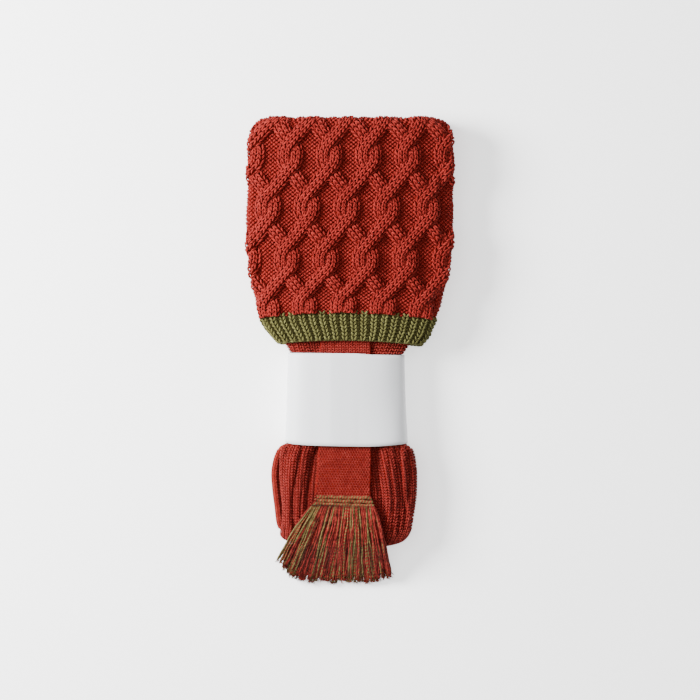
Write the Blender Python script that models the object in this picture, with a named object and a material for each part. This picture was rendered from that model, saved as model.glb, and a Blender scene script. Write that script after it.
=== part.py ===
"""A pair of knee-length hunting socks, folded flat, with turned-over cable cuffs and a fringed garter.

The pair lies on its back: +X is across the cuffs, +Y runs from the fringe to the cuffs' fold, +Z is up.
The origin is on the surface that the pair lies on, under the middle of its length and width.
All sizes below are in millimetres, and the meshes are made in metres.
"""

import math
from collections import namedtuple

import bmesh
import bpy
import numpy as np

MM = 0.001
GAP = 0.3  # between pieces that touch

# ---- the cuffs' knitting -------------------------------------------------------------------------
STITCHES = 88  # round one cuff
ROUND_CUFF = 268.0
CABLE_REPEAT = 8  # stitches from one cable to the next
NODE_ROWS_MM = 32.2  # up the cuff, from one row of cables to the next
FIRST_NODE_Y = 23.6  # the row of cables that the hem cuts through
CABLE_SWING = 6  # stitches that a strand wanders to each side
CABLE_HALF_WIDTH = 1.25  # stitches
CABLE_RISE = 2.4  # how far a strand stands above the purl ground
CABLE_UNDER = 0.45  # share of that height where a strand passes under another
TWIST = 0.02  # how far the knitting leans across, for each millimetre down the cuff
TWIST_FROM_Y = 180.0
SIDE_CROWDING_TOP, SIDE_CROWDING_HEM = 0.03, 0.17  # how much closer stitches stand at the back

# ---- the cuffs' wall -----------------------------------------------------------------------------
WALL = 2.6
SIDE_RELIEF = 1.1  # how far the knitting stands out past the wall at the outline's sides
FOLD_TOP_Y = 143.8
LIP_DEPTH = 9.0  # how far the turned-in edge reaches down inside
CUFF_HEM_Y = 19.6
BAND_HEM_Y = 2.9
BAND_RIBS = 44
BAND_RIB_RISE = 1.3
SOCK_THICKNESS = 12.6  # one sock's cuff, pressed flat
FACING_FLAT = 1.16  # how much a pressed side is cut back from a full round

Outline = namedtuple("Outline", "y left right")
CUFF_OUTLINE = (
    Outline(143.8, -55.0, 55.4),
    Outline(141.4, -58.4, 59.6),
    Outline(137.6, -60.9, 62.0),
    Outline(132.7, -62.0, 63.0),
    Outline(124.0, -62.4, 63.4),
    Outline(99.0, -62.9, 63.6),
    Outline(80.6, -63.4, 63.6),
    Outline(68.2, -62.8, 63.0),
    Outline(55.8, -61.4, 61.4),
    Outline(43.4, -59.8, 59.3),
    Outline(31.0, -57.0, 56.4),
    Outline(23.6, -55.2, 54.0),
    Outline(18.0, -54.2, 52.4),
    Outline(14.3, -51.9, 50.9),
    Outline(10.5, -49.0, 49.4),
    Outline(6.8, -46.2, 47.0),
    Outline(4.3, -44.6, 45.0),
    Outline(2.9, -43.2, 43.6),
)
Lift = namedtuple("Lift", "y low middle high")
UPPER_LIFT = (
    Lift(143.8, 13.4, 18.6, 25.4),
    Lift(136.0, 12.9, 18.4, 26.4),
    Lift(110.0, 12.9, 18.4, 26.8),
    Lift(60.0, 12.9, 18.4, 26.8),
    Lift(30.0, 12.9, 18.6, 27.4),
    Lift(14.0, 12.9, 18.8, 28.8),
    Lift(6.0, 12.9, 18.8, 28.8),
    Lift(2.9, 13.4, 18.8, 28.4),
)
LOWER_LIFT = (
    Lift(143.8, 0.5, 6.0, 12.0),
    Lift(136.0, 0.0, 6.0, 12.6),
    Lift(30.0, 0.0, 6.0, 12.6),
    Lift(6.0, 0.0, 6.0, 12.6),
    Lift(2.9, 0.4, 6.0, 12.2),
)
LOWER_CUFF_SHIFT = (0.4, -0.8)  # the lower sock lies a little off the upper one

# ---- the folded legs -----------------------------------------------------------------------------
Station = namedtuple("Station", "y z turn left right thick trough ribs")
FOLD_Y, FOLD_Z, FOLD_RADIUS = -108.5, 10.75, 6.75  # the turn at the bundle's lower end
LEG_SQUARENESS = 2.8
UPPER_LEG_RIBS = 23
RIB_RISE = 0.95
LEG_TOP = FOLD_Z + FOLD_RADIUS
UPPER_LEG_FRONT = (
    Station(128.5, 17.4, 0, -43.0, 43.0, 4.6, 0.0, 0),
    Station(121.0, 16.2, 0, -46.0, 46.0, 7.0, 0.0, 0),
    Station(60.0, 16.2, 0, -46.0, 46.0, 7.0, 0.0, 0),
    Station(22.0, 16.2, 0, -43.5, 42.0, 7.0, 0.6, 0),
    Station(10.0, 16.4, 0, -40.5, 37.8, 7.0, 1.4, 1),
    Station(4.0, 16.7, 0, -37.9, 34.6, 7.3, 2.0, 1),
    Station(-1.0, 17.1, 0, -36.4, 32.0, 7.6, 2.3, 1),
    Station(-5.0, LEG_TOP, 0, -35.8, 31.0, 7.6, 2.3, 0),
    Station(-48.0, LEG_TOP, 0, -37.2, 32.8, 7.8, 2.3, 0),
    Station(-60.2, LEG_TOP, 0, -38.0, 33.6, 7.7, 2.6, 0),
    Station(-63.4, LEG_TOP, 0, -42.4, 38.8, 9.0, 3.8, 1),
    Station(-70.0, LEG_TOP, 0, -44.7, 41.0, 9.9, 4.8, 1),
    Station(-78.0, LEG_TOP, 0, -45.6, 42.0, 10.2, 5.2, 1),
    Station(-88.0, LEG_TOP, 0, -45.6, 41.6, 9.8, 5.0, 1),
    Station(-98.0, LEG_TOP, 0, -45.0, 40.2, 9.0, 4.4, 1),
)
UPPER_LEG_TURN = (
    Station(FOLD_Y, FOLD_Z, 0, -43.6, 38.6, 8.2, 3.4, 1),
    Station(FOLD_Y, FOLD_Z, 30, -42.6, 37.6, 7.6, 2.6, 1),
    Station(FOLD_Y, FOLD_Z, 60, -41.2, 35.8, 6.8, 1.6, 1),
    Station(FOLD_Y, FOLD_Z, 90, -39.4, 33.4, 6.1, 0.8, 1),
    Station(FOLD_Y, FOLD_Z, 120, -38.8, 32.8, 5.2, 0.0, 1),
    Station(FOLD_Y, FOLD_Z, 150, -39.2, 33.6, 4.5, 0.0, 1),
    Station(FOLD_Y, FOLD_Z, 180, -40.0, 35.0, 4.0, 0.0, 0),
)
UPPER_LEG_BACK = (
    Station(-96.0, 4.0, 180, -41.5, 36.5, 4.0, 0.0, 0),
    Station(-64.5, 4.0, 180, -39.6, 35.6, 4.0, 0.0, 0),
    Station(-60.5, 4.0, 180, -33.6, 29.6, 3.1, 0.0, 0),
    Station(-4.0, 4.0, 180, -31.6, 26.8, 3.1, 0.0, 0),
    Station(0.5, 4.0, 180, -30.0, 25.5, 2.2, 0.0, 0),
)
Slab = namedtuple("Slab", "y low high left right")
LOWER_LEG = (
    Slab(128.5, 4.8, 7.6, -38.0, 39.0),
    Slab(121.0, 3.6, 8.8, -42.0, 42.0),
    Slab(60.0, 3.6, 8.8, -42.0, 42.0),
    Slab(22.0, 3.6, 8.8, -40.0, 39.0),
    Slab(4.0, 4.3, 8.9, -36.6, 33.4),
    Slab(0.5, 4.3, 9.0, -35.6, 31.6),
    Slab(-4.5, 4.3, 15.0, -35.6, 30.8),
    Slab(-10.0, 4.3, 17.0, -35.6, 30.8),
    Slab(-50.0, 4.3, 17.0, -36.8, 32.4),
    Slab(-60.2, 4.3, 17.0, -37.4, 33.2),
    Slab(-63.4, 4.3, 17.0, -44.0, 37.8),
    Slab(-70.0, 4.3, 17.0, -47.8, 40.2),
    Slab(-78.0, 4.3, 17.0, -48.9, 41.0),
    Slab(-88.0, 4.3, 17.0, -48.2, 40.6),
    Slab(-98.0, 4.3, 17.0, -46.2, 39.4),
    Slab(-106.0, 4.3, 17.0, -43.8, 38.0),
    Slab(-110.5, 4.9, 16.5, -41.6, 35.8),
    Slab(-113.4, 7.2, 14.3, -38.6, 32.8),
    Slab(-114.6, 9.6, 11.9, -36.0, 30.4),
)
LAYERS = 3  # cloth edges that show at the bundle's sides
LAYER_GROOVE = 1.5
BUNDLE_TILT = 0.018  # how far the bundle's right side lies below its left, for each millimetre across
TILT_FROM_Y, TILT_TO_Y = 6.0, -10.0

# ---- the paper band ------------------------------------------------------------------------------
PAPER = 0.5
PAPER_FACETS = 40
PAPER_MIDDLE_Z = 12.0
PAPER_BOW = 1.2  # how far its edges bow away from its middle, over the bundle's crown
Ring = namedtuple("Ring", "y left right high bow")
PAPER_BAND = (
    Ring(-2.1, -38.6, 33.9, 27.1, 0.0),
    Ring(-30.0, -39.2, 34.6, 27.3, 0.0),
    Ring(-58.2, -40.3, 36.0, 27.5, PAPER_BOW),
)

# ---- the garter ----------------------------------------------------------------------------------
GARTER_THICKNESS = 1.7
GARTER_CLEAR = 0.6  # between the strap and the leg's ribs
Strap = namedtuple("Strap", "y left right")
GARTER = (
    Strap(15.0, -17.6, 12.6),
    Strap(4.0, -18.4, 12.8),
    Strap(-4.0, -18.9, 12.9),
    Strap(-14.0, -19.0, 13.0),
    Strap(-48.0, -19.1, 13.0),
    Strap(-58.0, -19.3, 13.0),
    Strap(-66.0, -19.8, 13.0),
    Strap(-78.0, -20.6, 12.8),
    Strap(-86.0, -21.6, 12.6),
    Strap(-90.6, -22.2, 13.0),
)
GARTER_RING_YS = (15.0, 10.0, 4.0, -1.0, -5.0, -26.0, -48.0, -60.2, -63.4, -66.5, -70.0, -74.0, -78.0, -88.0)
HEADING = {"left": -22.9, "right": 15.4, "top_y": -90.9, "bottom_y": -97.6, "thick": 3.8}
STRAND_COLUMNS, STRAND_LAYERS = 32, 3
STRAND_SPACING_SHARE = 0.15  # of a strand's cell left clear on each side
STRAND_OVER_Y, STRAND_BEND_Y = -113.2, -124.6  # on the turn of the leg, and clear of its end
STRAND_TIP_WIDTH = 1.7  # times its width at the root, as the strands spread
TIP_MIDDLE_X, TIP_HALF_SPREAD = -9.0, 34.0
TIP_Y = -143.0
TIP_LEFT_SHORTER, TIP_RIGHT_SHORTER = 10.0, 2.4
TIP_UNEVEN = 1.6
STRAND_BEND_Z, STRAND_TIP_Z = 16.4, 1.0

# ---- colours -------------------------------------------------------------------------------------
RUST_RED = (0.42, 0.045, 0.022)
OLIVE = (0.16, 0.155, 0.05)
FRINGE_MIX = (0.34, 0.09, 0.035)
WHITE_PAPER = (0.82, 0.83, 0.84)


def smooth_step(low, high, value):
    share = np.clip((np.asarray(value, float) - low) / (high - low), 0.0, 1.0)
    return share * share * (3 - 2 * share)


def from_table(table, y):
    """The table's row at y: a smooth curve through each column, with no overshoot."""
    rows = sorted(table)
    at = np.array([row.y for row in rows])
    y = min(max(y, at[0]), at[-1])
    i = min(max(int(np.searchsorted(at, y)) - 1, 0), len(rows) - 2)
    share = (y - at[i]) / (at[i + 1] - at[i])
    values = np.array(rows, float)
    grades = np.diff(values, axis=0) / np.diff(at)[:, None]
    before, after = grades[:-1], grades[1:]
    same_way = before * after > 0
    between = np.where(same_way, 2 * before * after / np.where(same_way, before + after, 1), 0)
    slopes = np.vstack([grades[:1], between, grades[-1:]])
    step = at[i + 1] - at[i]
    blend = (
        (2 * share**3 - 3 * share**2 + 1) * values[i]
        + (share**3 - 2 * share**2 + share) * step * slopes[i]
        + (3 * share**2 - 2 * share**3) * values[i + 1]
        + (share**3 - share**2) * step * slopes[i + 1]
    )
    return type(table[0])(*blend)


# ---- sections ------------------------------------------------------------------------------------
def rounded(sines, exponent):
    return np.sign(sines) * np.abs(sines) ** (2 / exponent)


def fine_angles(start, end, count):
    """Angles that are closest together at the quarter turns, where a flattened section moves fastest."""
    even = np.linspace(start, end, count)
    return even - 0.249 * np.sin(4 * even)


Box = namedtuple("Box", "left right low middle high")
Side = namedtuple("Side", "squareness flat")  # flat above 1 presses that side of a section flat


def section_points(angles, box, top, bottom):
    """Points of a flattened tube's section, by angle from its crown towards +X."""
    half, centre = (box.right - box.left) / 2, (box.right + box.left) / 2
    sine, cosine = np.sin(angles), np.cos(angles)
    above = cosine >= 0
    across = np.where(above, rounded(sine, top.squareness), rounded(sine, bottom.squareness))
    up = np.minimum(top.flat * rounded(np.clip(cosine, 0, 1), top.squareness), 1)
    down = np.minimum(bottom.flat * rounded(np.clip(-cosine, 0, 1), bottom.squareness), 1)
    heights = np.where(above, up * (box.high - box.middle), -down * (box.middle - box.low))
    return np.stack([centre + half * across, box.middle + heights], axis=1)


def angles_at(shares, make_points):
    """Angles whose points divide a section's length, from its crown, in the given shares of the whole."""
    angles = fine_angles(-math.pi, math.pi, 1441)
    points = make_points(angles)
    lengths = np.concatenate([[0], np.cumsum(np.linalg.norm(np.diff(points, axis=0), axis=1))])
    crown = np.interp(0.0, angles, lengths)
    return np.interp(np.asarray(shares) * lengths[-1] + crown, lengths, angles)


def outward(angles, make_points):
    """Unit normals of a section at these angles."""
    step = 0.004
    along = make_points(angles + step) - make_points(angles - step)
    normals = np.stack([-along[:, 1], along[:, 0]], axis=1)
    return normals / np.maximum(np.linalg.norm(normals, axis=1), 1e-9)[:, None]


# ---- the cable lattice ---------------------------------------------------------------------------
def strand_paths(y):
    """(where each strand lies, in stitches from the cuff's middle, and how far it rises) at this height."""
    travel = (y - FIRST_NODE_Y) / NODE_ROWS_MM
    row, share = divmod(travel, 1.0)
    eased = share - 0.8 * math.sin(2 * math.pi * share) / (2 * math.pi)
    goes_right = row % 2 == 0
    swing = eased if goes_right else 1 - eased
    off_crossing = min(abs(swing - 1 / 6), abs(swing - 5 / 6))
    beneath = CABLE_RISE * (1 - (1 - CABLE_UNDER) * max(0.0, 1 - (off_crossing / 0.2) ** 2))
    paths = []
    for cable in range(-6, 7):
        middle = cable * CABLE_REPEAT
        paths.append((middle - 1 + CABLE_SWING * swing, CABLE_RISE if goes_right else beneath))
        paths.append((middle + 1 - CABLE_SWING * swing, beneath if goes_right else CABLE_RISE))
    return paths


def cable_height(stitch, y):
    """How far the lattice stands above the purl ground, at these stitches round the cuff."""
    height = np.zeros_like(stitch)
    for middle, rise in strand_paths(y):
        off = (stitch - middle + STITCHES / 2) % STITCHES - STITCHES / 2
        height = np.maximum(height, rise * np.clip(1 - (off / CABLE_HALF_WIDTH) ** 2, 0, 1))
    return height


# ---- mesh building -------------------------------------------------------------------------------
def new_collection(name):
    collection = bpy.data.collections.new(name)
    bpy.context.scene.collection.children.link(collection)
    return collection


def new_material(name, colour, roughness):
    material = bpy.data.materials.new(name)
    material.use_nodes = True
    shader = material.node_tree.nodes["Principled BSDF"]
    shader.inputs["Base Color"].default_value = (*colour, 1)
    shader.inputs["Roughness"].default_value = roughness
    shader.inputs["Metallic"].default_value = 0.0
    return material


def new_object(name, mesh_builder, material, collection):
    """Turns a bmesh, in millimetres, into a named object with its faces pointing out."""
    bmesh.ops.recalc_face_normals(mesh_builder, faces=mesh_builder.faces)
    bmesh.ops.scale(mesh_builder, vec=(MM, MM, MM), verts=mesh_builder.verts)
    mesh = bpy.data.meshes.new(name)
    mesh_builder.to_mesh(mesh)
    mesh_builder.free()
    mesh.shade_smooth()
    mesh.set_sharp_from_angle(angle=math.radians(55))
    mesh.materials.append(material)
    result = bpy.data.objects.new(name, mesh)
    collection.objects.link(result)
    return result


def loft(rings, joined_ends):
    """A bmesh skin through rings of points: the last ring meets the first, or both ends are capped."""
    builder = bmesh.new()
    made = [[builder.verts.new(point) for point in ring] for ring in rings]
    pairs = list(zip(made, made[1:]))
    if joined_ends:
        pairs.append((made[-1], made[0]))
    else:
        builder.faces.new(made[0])
        builder.faces.new(made[-1])
    count = len(made[0])
    for one, other in pairs:
        for i in range(count):
            j = (i + 1) % count
            builder.faces.new((one[i], one[j], other[j], other[i]))
    return builder


# ---- the cuffs -----------------------------------------------------------------------------------
Sock = namedtuple("Sock", "lift shift top")
PRESSED = Side(3.2, FACING_FLAT)
UPPER_SOCK = Sock(UPPER_LIFT, (0.0, 0.0), Side(2.7, 1.0))
LOWER_SOCK = Sock(LOWER_LIFT, LOWER_CUFF_SHIFT, PRESSED)


def cuff_section(sock, y, inset):
    """The function of angle that gives a cuff's section at this height, inset from its outside."""
    side = from_table(CUFF_OUTLINE, y)
    lift = from_table(sock.lift, y)

    box = Box(
        side.left + sock.shift[0] + SIDE_RELIEF + inset,
        side.right + sock.shift[0] - SIDE_RELIEF - inset,
        lift.low + inset,
        lift.middle,
        lift.high - inset,
    )
    return lambda angles: section_points(angles, box, sock.top, PRESSED)


def cuff_ring(sock, y, inset, stitches, raised=0.0):
    """One ring of a cuff's skin. raised is how far the knitting stands out of it at each stitch."""
    crowding = SIDE_CROWDING_HEM + (SIDE_CROWDING_TOP - SIDE_CROWDING_HEM) * float(smooth_step(15, 75, y))
    turn = stitches / STITCHES
    lean = TWIST * (y - TWIST_FROM_Y) / ROUND_CUFF
    shares = turn + crowding * np.sin(2 * math.pi * turn) / (2 * math.pi) + lean * np.cos(math.pi * turn) ** 2
    outside = cuff_section(sock, y, 0.0)
    angles = angles_at(shares, outside)
    points = cuff_section(sock, y, inset)(angles)
    normals = outward(angles, outside)
    standing = raised * smooth_step(-0.75, -0.2, normals[:, 1])
    if sock.top is PRESSED:
        standing = standing * smooth_step(0.8, 0.3, normals[:, 1])
    points = points + normals * standing[:, None]
    return [(x, y + sock.shift[1], z) for x, z in points]


def uneven_columns(spans):
    """Stitch positions round a cuff, from (start, end, count) spans."""
    return np.concatenate([np.linspace(start, end, count, endpoint=False) for start, end, count in spans])


def make_cuff(name, sock, stitches, outer_rows, material, collection):
    """A turned-over cuff: raised cables outside, a plain inside, and a fold whose lip is the sock's mouth."""
    roll_y = FOLD_TOP_Y - WALL
    rings = []
    for y in np.linspace(CUFF_HEM_Y, roll_y - 1.5, outer_rows):
        cables = cable_height(stitches, y) * float(smooth_step(CUFF_HEM_Y - 2.0, CUFF_HEM_Y + 4.0, y))
        rings.append(cuff_ring(sock, y, 0.0, stitches, cables))
    for degrees in (15, 45, 75, 105, 140):
        turn = math.radians(degrees)
        cables = cable_height(stitches, roll_y) * max(0.0, math.cos(turn / 1.6))
        y, inset = roll_y + WALL * math.sin(turn), WALL * (1 - math.cos(turn))
        rings.append(cuff_ring(sock, y, inset, stitches, cables))
    for y, inset in (
        (roll_y - 1.0, 2 * WALL),
        (roll_y - LIP_DEPTH, 2 * WALL),
        (roll_y - LIP_DEPTH - 0.8, WALL),
        (98.0, WALL),
        (38.0, WALL),
        (CUFF_HEM_Y, WALL),
    ):
        rings.append(cuff_ring(sock, y, inset, stitches))
    return new_object(name, loft(rings, joined_ends=True), material, collection)


def make_cuff_band(name, sock, rib_span, columns_a_rib, hidden_columns, material, collection):
    """The ribbed hem below a cuff. rib_span stitches to each side of the front's middle carry their ribs."""
    stitches_a_rib = STITCHES / BAND_RIBS
    ribbed = int(2 * rib_span / stitches_a_rib * columns_a_rib)
    stitches = uneven_columns(
        [(-rib_span, rib_span, ribbed), (rib_span, STITCHES - rib_span, hidden_columns)]
    )

    wave = 0.5 + 0.5 * np.cos(2 * math.pi * stitches / stitches_a_rib)
    ribs = BAND_RIB_RISE * wave * smooth_step(rib_span + 0.5, rib_span - 1.5, np.abs(stitches))
    top_y, roll = CUFF_HEM_Y - GAP, WALL / 2
    rings = [
        cuff_ring(sock, y, 0.0, stitches, ribs) for y in np.linspace(top_y, BAND_HEM_Y + roll + 0.4, 5)
    ]
    rings.append(cuff_ring(sock, BAND_HEM_Y + 0.5, 0.5, stitches, 0.7 * ribs))
    rings.append(cuff_ring(sock, BAND_HEM_Y, roll, stitches))
    rings.append(cuff_ring(sock, BAND_HEM_Y + 0.7, WALL - 0.2, stitches))
    rings.append(cuff_ring(sock, 10.0, WALL, stitches))
    rings.append(cuff_ring(sock, top_y, WALL, stitches))
    return new_object(name, loft(rings, joined_ends=True), material, collection)


# ---- the folded legs -----------------------------------------------------------------------------
def tilted(x, y):
    """Where a point of the bundle lies along the pair, as the bundle is a little askew under the cuffs."""
    return y - BUNDLE_TILT * x * float(smooth_step(TILT_FROM_Y, TILT_TO_Y, y))


def trough_at(x, depth):
    """The dip that the garter presses into the bundle's front."""
    return depth * np.exp(-(((x + 3.2) / 23.0) ** 8))


def leg_top(x, y):
    """The upper leg's height at a place on its front or on the turn below it, over its ribs."""
    turn = UPPER_LEG_TURN[0]
    rows = sorted(UPPER_LEG_FRONT + (turn._replace(z=LEG_TOP),))
    at = [row.y for row in rows]
    now = Station(*[np.interp(y, at, column) for column in np.array(rows, float).T])
    half, centre = (now.right - now.left) / 2, (now.right + now.left) / 2
    share = min(abs(x - centre) / half, 1.0)
    edge = (1 - share**LEG_SQUARENESS) ** (1 / LEG_SQUARENESS)
    height = now.thick * edge - float(trough_at(x, now.trough)) + RIB_RISE
    if y >= FOLD_Y:
        return now.z + height
    radius = FOLD_RADIUS + height
    return FOLD_Z + math.sqrt(max(radius**2 - (FOLD_Y - y) ** 2, 0.0))


LEG_SIDE = Side(LEG_SQUARENESS, 1.0)


def leg_ring(station):
    """The ribbed section of the upper leg at one station of its path."""
    half, centre = (station.right - station.left) / 2, (station.right + station.left) / 2

    box = Box(-half, half, 0.0, 0.0, station.thick)

    def make_points(angles):
        return section_points(angles, box, LEG_SIDE, LEG_SIDE)

    over = np.linspace(-0.5, 0.5, 2 * UPPER_LEG_RIBS + 1)
    front = fine_angles(-math.pi / 2, math.pi / 2, 721)
    lengths = np.concatenate([[0], np.cumsum(np.linalg.norm(np.diff(make_points(front), axis=0), axis=1))])
    points = make_points(np.interp((over + 0.5) * lengths[-1], lengths, front))
    ribs = RIB_RISE * station.ribs * np.where(np.arange(len(over)) % 2 == 1, 1.0, -0.2)
    ribs[[0, -1]] = 0.0
    heights = points[:, 1] + ribs - trough_at(points[:, 0] + centre, station.trough)
    across = np.concatenate([points[:, 0], np.linspace(half - 3.0, 3.0 - half, 9)])
    heights = np.concatenate([np.maximum(heights, 0.0), np.zeros(9)])
    turn = math.radians(station.turn)
    up_y, up_z = -math.sin(turn), math.cos(turn)
    if station.y == FOLD_Y:
        heights = heights + FOLD_RADIUS
    return [
        (centre + x, tilted(centre + x, station.y + up_y * h), station.z + up_z * h)
        for x, h in zip(across, heights)
    ]


def make_upper_leg(material, collection):
    """The upper sock's leg: out of its cuff, down the front, round the lower end and back beneath."""
    rings = [leg_ring(station) for station in UPPER_LEG_FRONT + UPPER_LEG_TURN + UPPER_LEG_BACK]
    return new_object("upper_leg", loft(rings, joined_ends=False), material, collection)


def make_lower_leg(material, collection):
    """The lower sock's leg and the folded layers between, one solid with their edges at its sides."""
    steps = np.linspace(0, 1, 4 * LAYERS + 1)
    groove = LAYER_GROOVE * np.cos(math.pi * LAYERS * steps) ** 2
    rings = []
    for slab in LOWER_LEG:
        side_z = slab.low + (slab.high - slab.low) * steps
        inner_x = np.linspace(slab.right - 8, slab.left + 8, 3)
        ring = [(slab.right - g, z) for g, z in zip(groove, side_z)]
        ring += [(x, slab.high) for x in inner_x]
        ring += [(slab.left + g, z) for g, z in zip(groove[::-1], side_z[::-1])]
        ring += [(x, slab.low) for x in inner_x[::-1]]
        rings.append([(x, tilted(x, slab.y), z) for x, z in ring])
    return new_object("lower_leg", loft(rings, joined_ends=False), material, collection)


# ---- the paper band ------------------------------------------------------------------------------
def make_paper_band(material, collection):
    """A plain strip of paper round the bundle."""
    shares = np.linspace(-0.5, 0.5, PAPER_FACETS, endpoint=False)
    skins = []
    for inset in (0.0, PAPER):
        skin = []
        for ring in PAPER_BAND:
            box = Box(ring.left + inset, ring.right - inset, inset, PAPER_MIDDLE_Z, ring.high - inset)

            def make_points(angles, box=box):
                return section_points(angles, box, Side(3.5, 1.0), Side(4.4, 1.08))

            angles = angles_at(shares, make_points)
            bows = ring.bow * np.clip(np.cos(angles), 0, 1)
            skin.append([(x, tilted(x, ring.y - bow), z) for (x, z), bow in zip(make_points(angles), bows)])
        skins.append(skin)
    outside, inside = skins
    return new_object("paper_band", loft(outside + inside[::-1], joined_ends=True), material, collection)


# ---- the garter ----------------------------------------------------------------------------------
def make_garter(material, collection):
    """The strap, from under the cuff's hem down to its fringe."""
    rings = []
    for y in GARTER_RING_YS + (GARTER[-1].y,):
        strap = from_table(GARTER, y)
        under = [(x, leg_top(x, y) + GARTER_CLEAR) for x in np.linspace(strap.left, strap.right, 9)]
        over = [(x, z + GARTER_THICKNESS) for x, z in under[::-1]]
        rings.append([(x, tilted(x, y), z) for x, z in under + over])
    return new_object("garter", loft(rings, joined_ends=False), material, collection)


def strand_points(root_x, layer):
    """(place, share of the strand's length) for each section of one strand past its root."""
    column_share = (root_x - HEADING["left"]) / (HEADING["right"] - HEADING["left"])
    side = 2 * column_share - 1
    shorter = TIP_LEFT_SHORTER * max(0.0, -side) ** 2.2 + TIP_RIGHT_SHORTER * max(0.0, side) ** 3
    tip_y = TIP_Y + shorter + TIP_UNEVEN * math.sin(37.0 * column_share + 2.4 * layer)
    tip_x = TIP_MIDDLE_X + TIP_HALF_SPREAD * side
    above = (layer + 0.5) * HEADING["thick"] / STRAND_LAYERS
    for y in (STRAND_OVER_Y, STRAND_BEND_Y, tip_y):
        share = (y - HEADING["bottom_y"]) / (tip_y - HEADING["bottom_y"])
        x = root_x + (tip_x - root_x) * share**0.8 + 0.5 * math.sin(9 * share + 2.1 * layer) * share
        if y == STRAND_OVER_Y:
            onto_lobe = 1.4 * float(smooth_step(14.0, 27.0, abs(x + 3.2)))
            z = leg_top(x, y) + 2 * GARTER_CLEAR + above + onto_lobe
        else:
            z = (STRAND_TIP_Z if y == tip_y else STRAND_BEND_Z) + above * (1.2 - 0.6 * share)
        yield (x, y, z), share


def heading_low(x):
    """The underside of the fringe's heading, clear of the leg along all of its depth."""
    return max(leg_top(x, HEADING["bottom_y"]), leg_top(x, HEADING["top_y"])) + GARTER_CLEAR


def make_fringe(material, collection):
    """The garter's heading, with strands drawn out of its lower face."""
    width, depth = HEADING["right"] - HEADING["left"], HEADING["thick"]
    builder = bmesh.new()
    bmesh.ops.create_grid(builder, x_segments=STRAND_COLUMNS, y_segments=STRAND_LAYERS, size=0.5)
    for vert in builder.verts:
        x, layer = HEADING["left"] + width * (vert.co.x + 0.5), vert.co.y + 0.5
        vert.co = (x, HEADING["bottom_y"], heading_low(x) + depth * layer)
    cells = list(builder.faces)
    rim = [edge for edge in builder.edges if edge.is_boundary]
    body = bmesh.ops.extrude_edge_only(builder, edges=rim)
    back = [item for item in body["geom"] if isinstance(item, bmesh.types.BMVert)]
    bmesh.ops.translate(builder, vec=(0, HEADING["top_y"] - HEADING["bottom_y"], 0), verts=back)
    bmesh.ops.contextual_create(builder, geom=[e for e in builder.edges if e.is_boundary])
    cell_width = width / STRAND_COLUMNS
    bmesh.ops.inset_individual(builder, faces=cells, thickness=cell_width * STRAND_SPACING_SHARE)
    for cell in cells:
        draw_strand(builder, cell)
    for vert in builder.verts:
        vert.co.y = tilted(vert.co.x, vert.co.y)
    return new_object("garter_fringe", builder, material, collection)


def draw_strand(builder, cell):
    """Draws one strand out of one face of the heading, in steps, widening as the strands spread."""
    root = cell.calc_center_median()
    layer = round((root.z - heading_low(root.x)) / HEADING["thick"] * STRAND_LAYERS - 0.5)
    spread = [vert.co - root for vert in cell.verts]
    for (x, y, z), share in strand_points(root.x, layer):
        made = bmesh.ops.extrude_discrete_faces(builder, faces=[cell])
        cell = made["faces"][0]
        wide = 1 + (STRAND_TIP_WIDTH - 1) * share
        for vert, offset in zip(cell.verts, spread):
            vert.co = (x + wide * offset.x, y, z + offset.z)


# ---- the pair ------------------------------------------------------------------------------------
def clear_scene():
    for old in list(bpy.data.objects):
        bpy.data.objects.remove(old)


def main():
    clear_scene()
    pair = new_collection("hunting_socks")
    red_wool = new_material("red_wool", RUST_RED, 0.9)
    olive_wool = new_material("olive_wool", OLIVE, 0.9)
    fringe_wool = new_material("fringe_wool", FRINGE_MIX, 0.9)
    paper = new_material("paper", WHITE_PAPER, 0.45)

    all_shown = [(-26.0, -22.0, 4), (-22.0, 22.0, 58), (22.0, 26.0, 4), (26.0, 62.0, 6)]
    sides_shown = [(-26.0, -18.0, 8), (-18.0, 18.0, 4), (18.0, 26.0, 8), (26.0, 62.0, 4)]
    make_cuff("upper_cuff", UPPER_SOCK, uneven_columns(all_shown), 40, red_wool, pair)
    make_cuff("lower_cuff", LOWER_SOCK, uneven_columns(sides_shown), 18, red_wool, pair)
    make_cuff_band("upper_cuff_band", UPPER_SOCK, 25.0, 3, 6, olive_wool, pair)
    make_cuff_band("lower_cuff_band", LOWER_SOCK, 25.0, 2, 6, olive_wool, pair)
    make_upper_leg(red_wool, pair)
    make_lower_leg(red_wool, pair)
    make_paper_band(paper, pair)
    make_garter(red_wool, pair)
    make_fringe(fringe_wool, pair)


main()
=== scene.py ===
"""Looks of a pair of knee-length hunting socks, folded flat in a plain paper band, seen from straight above.

The knitting is laid stitch by stitch, as yarn, on the cloth of the cuffs, hems, legs and garter.
Sizes are in millimetres until a mesh is made, and the frame is the CAD model's own.
"""

import math
from collections import namedtuple
from itertools import product
from math import pi, tau

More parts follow.
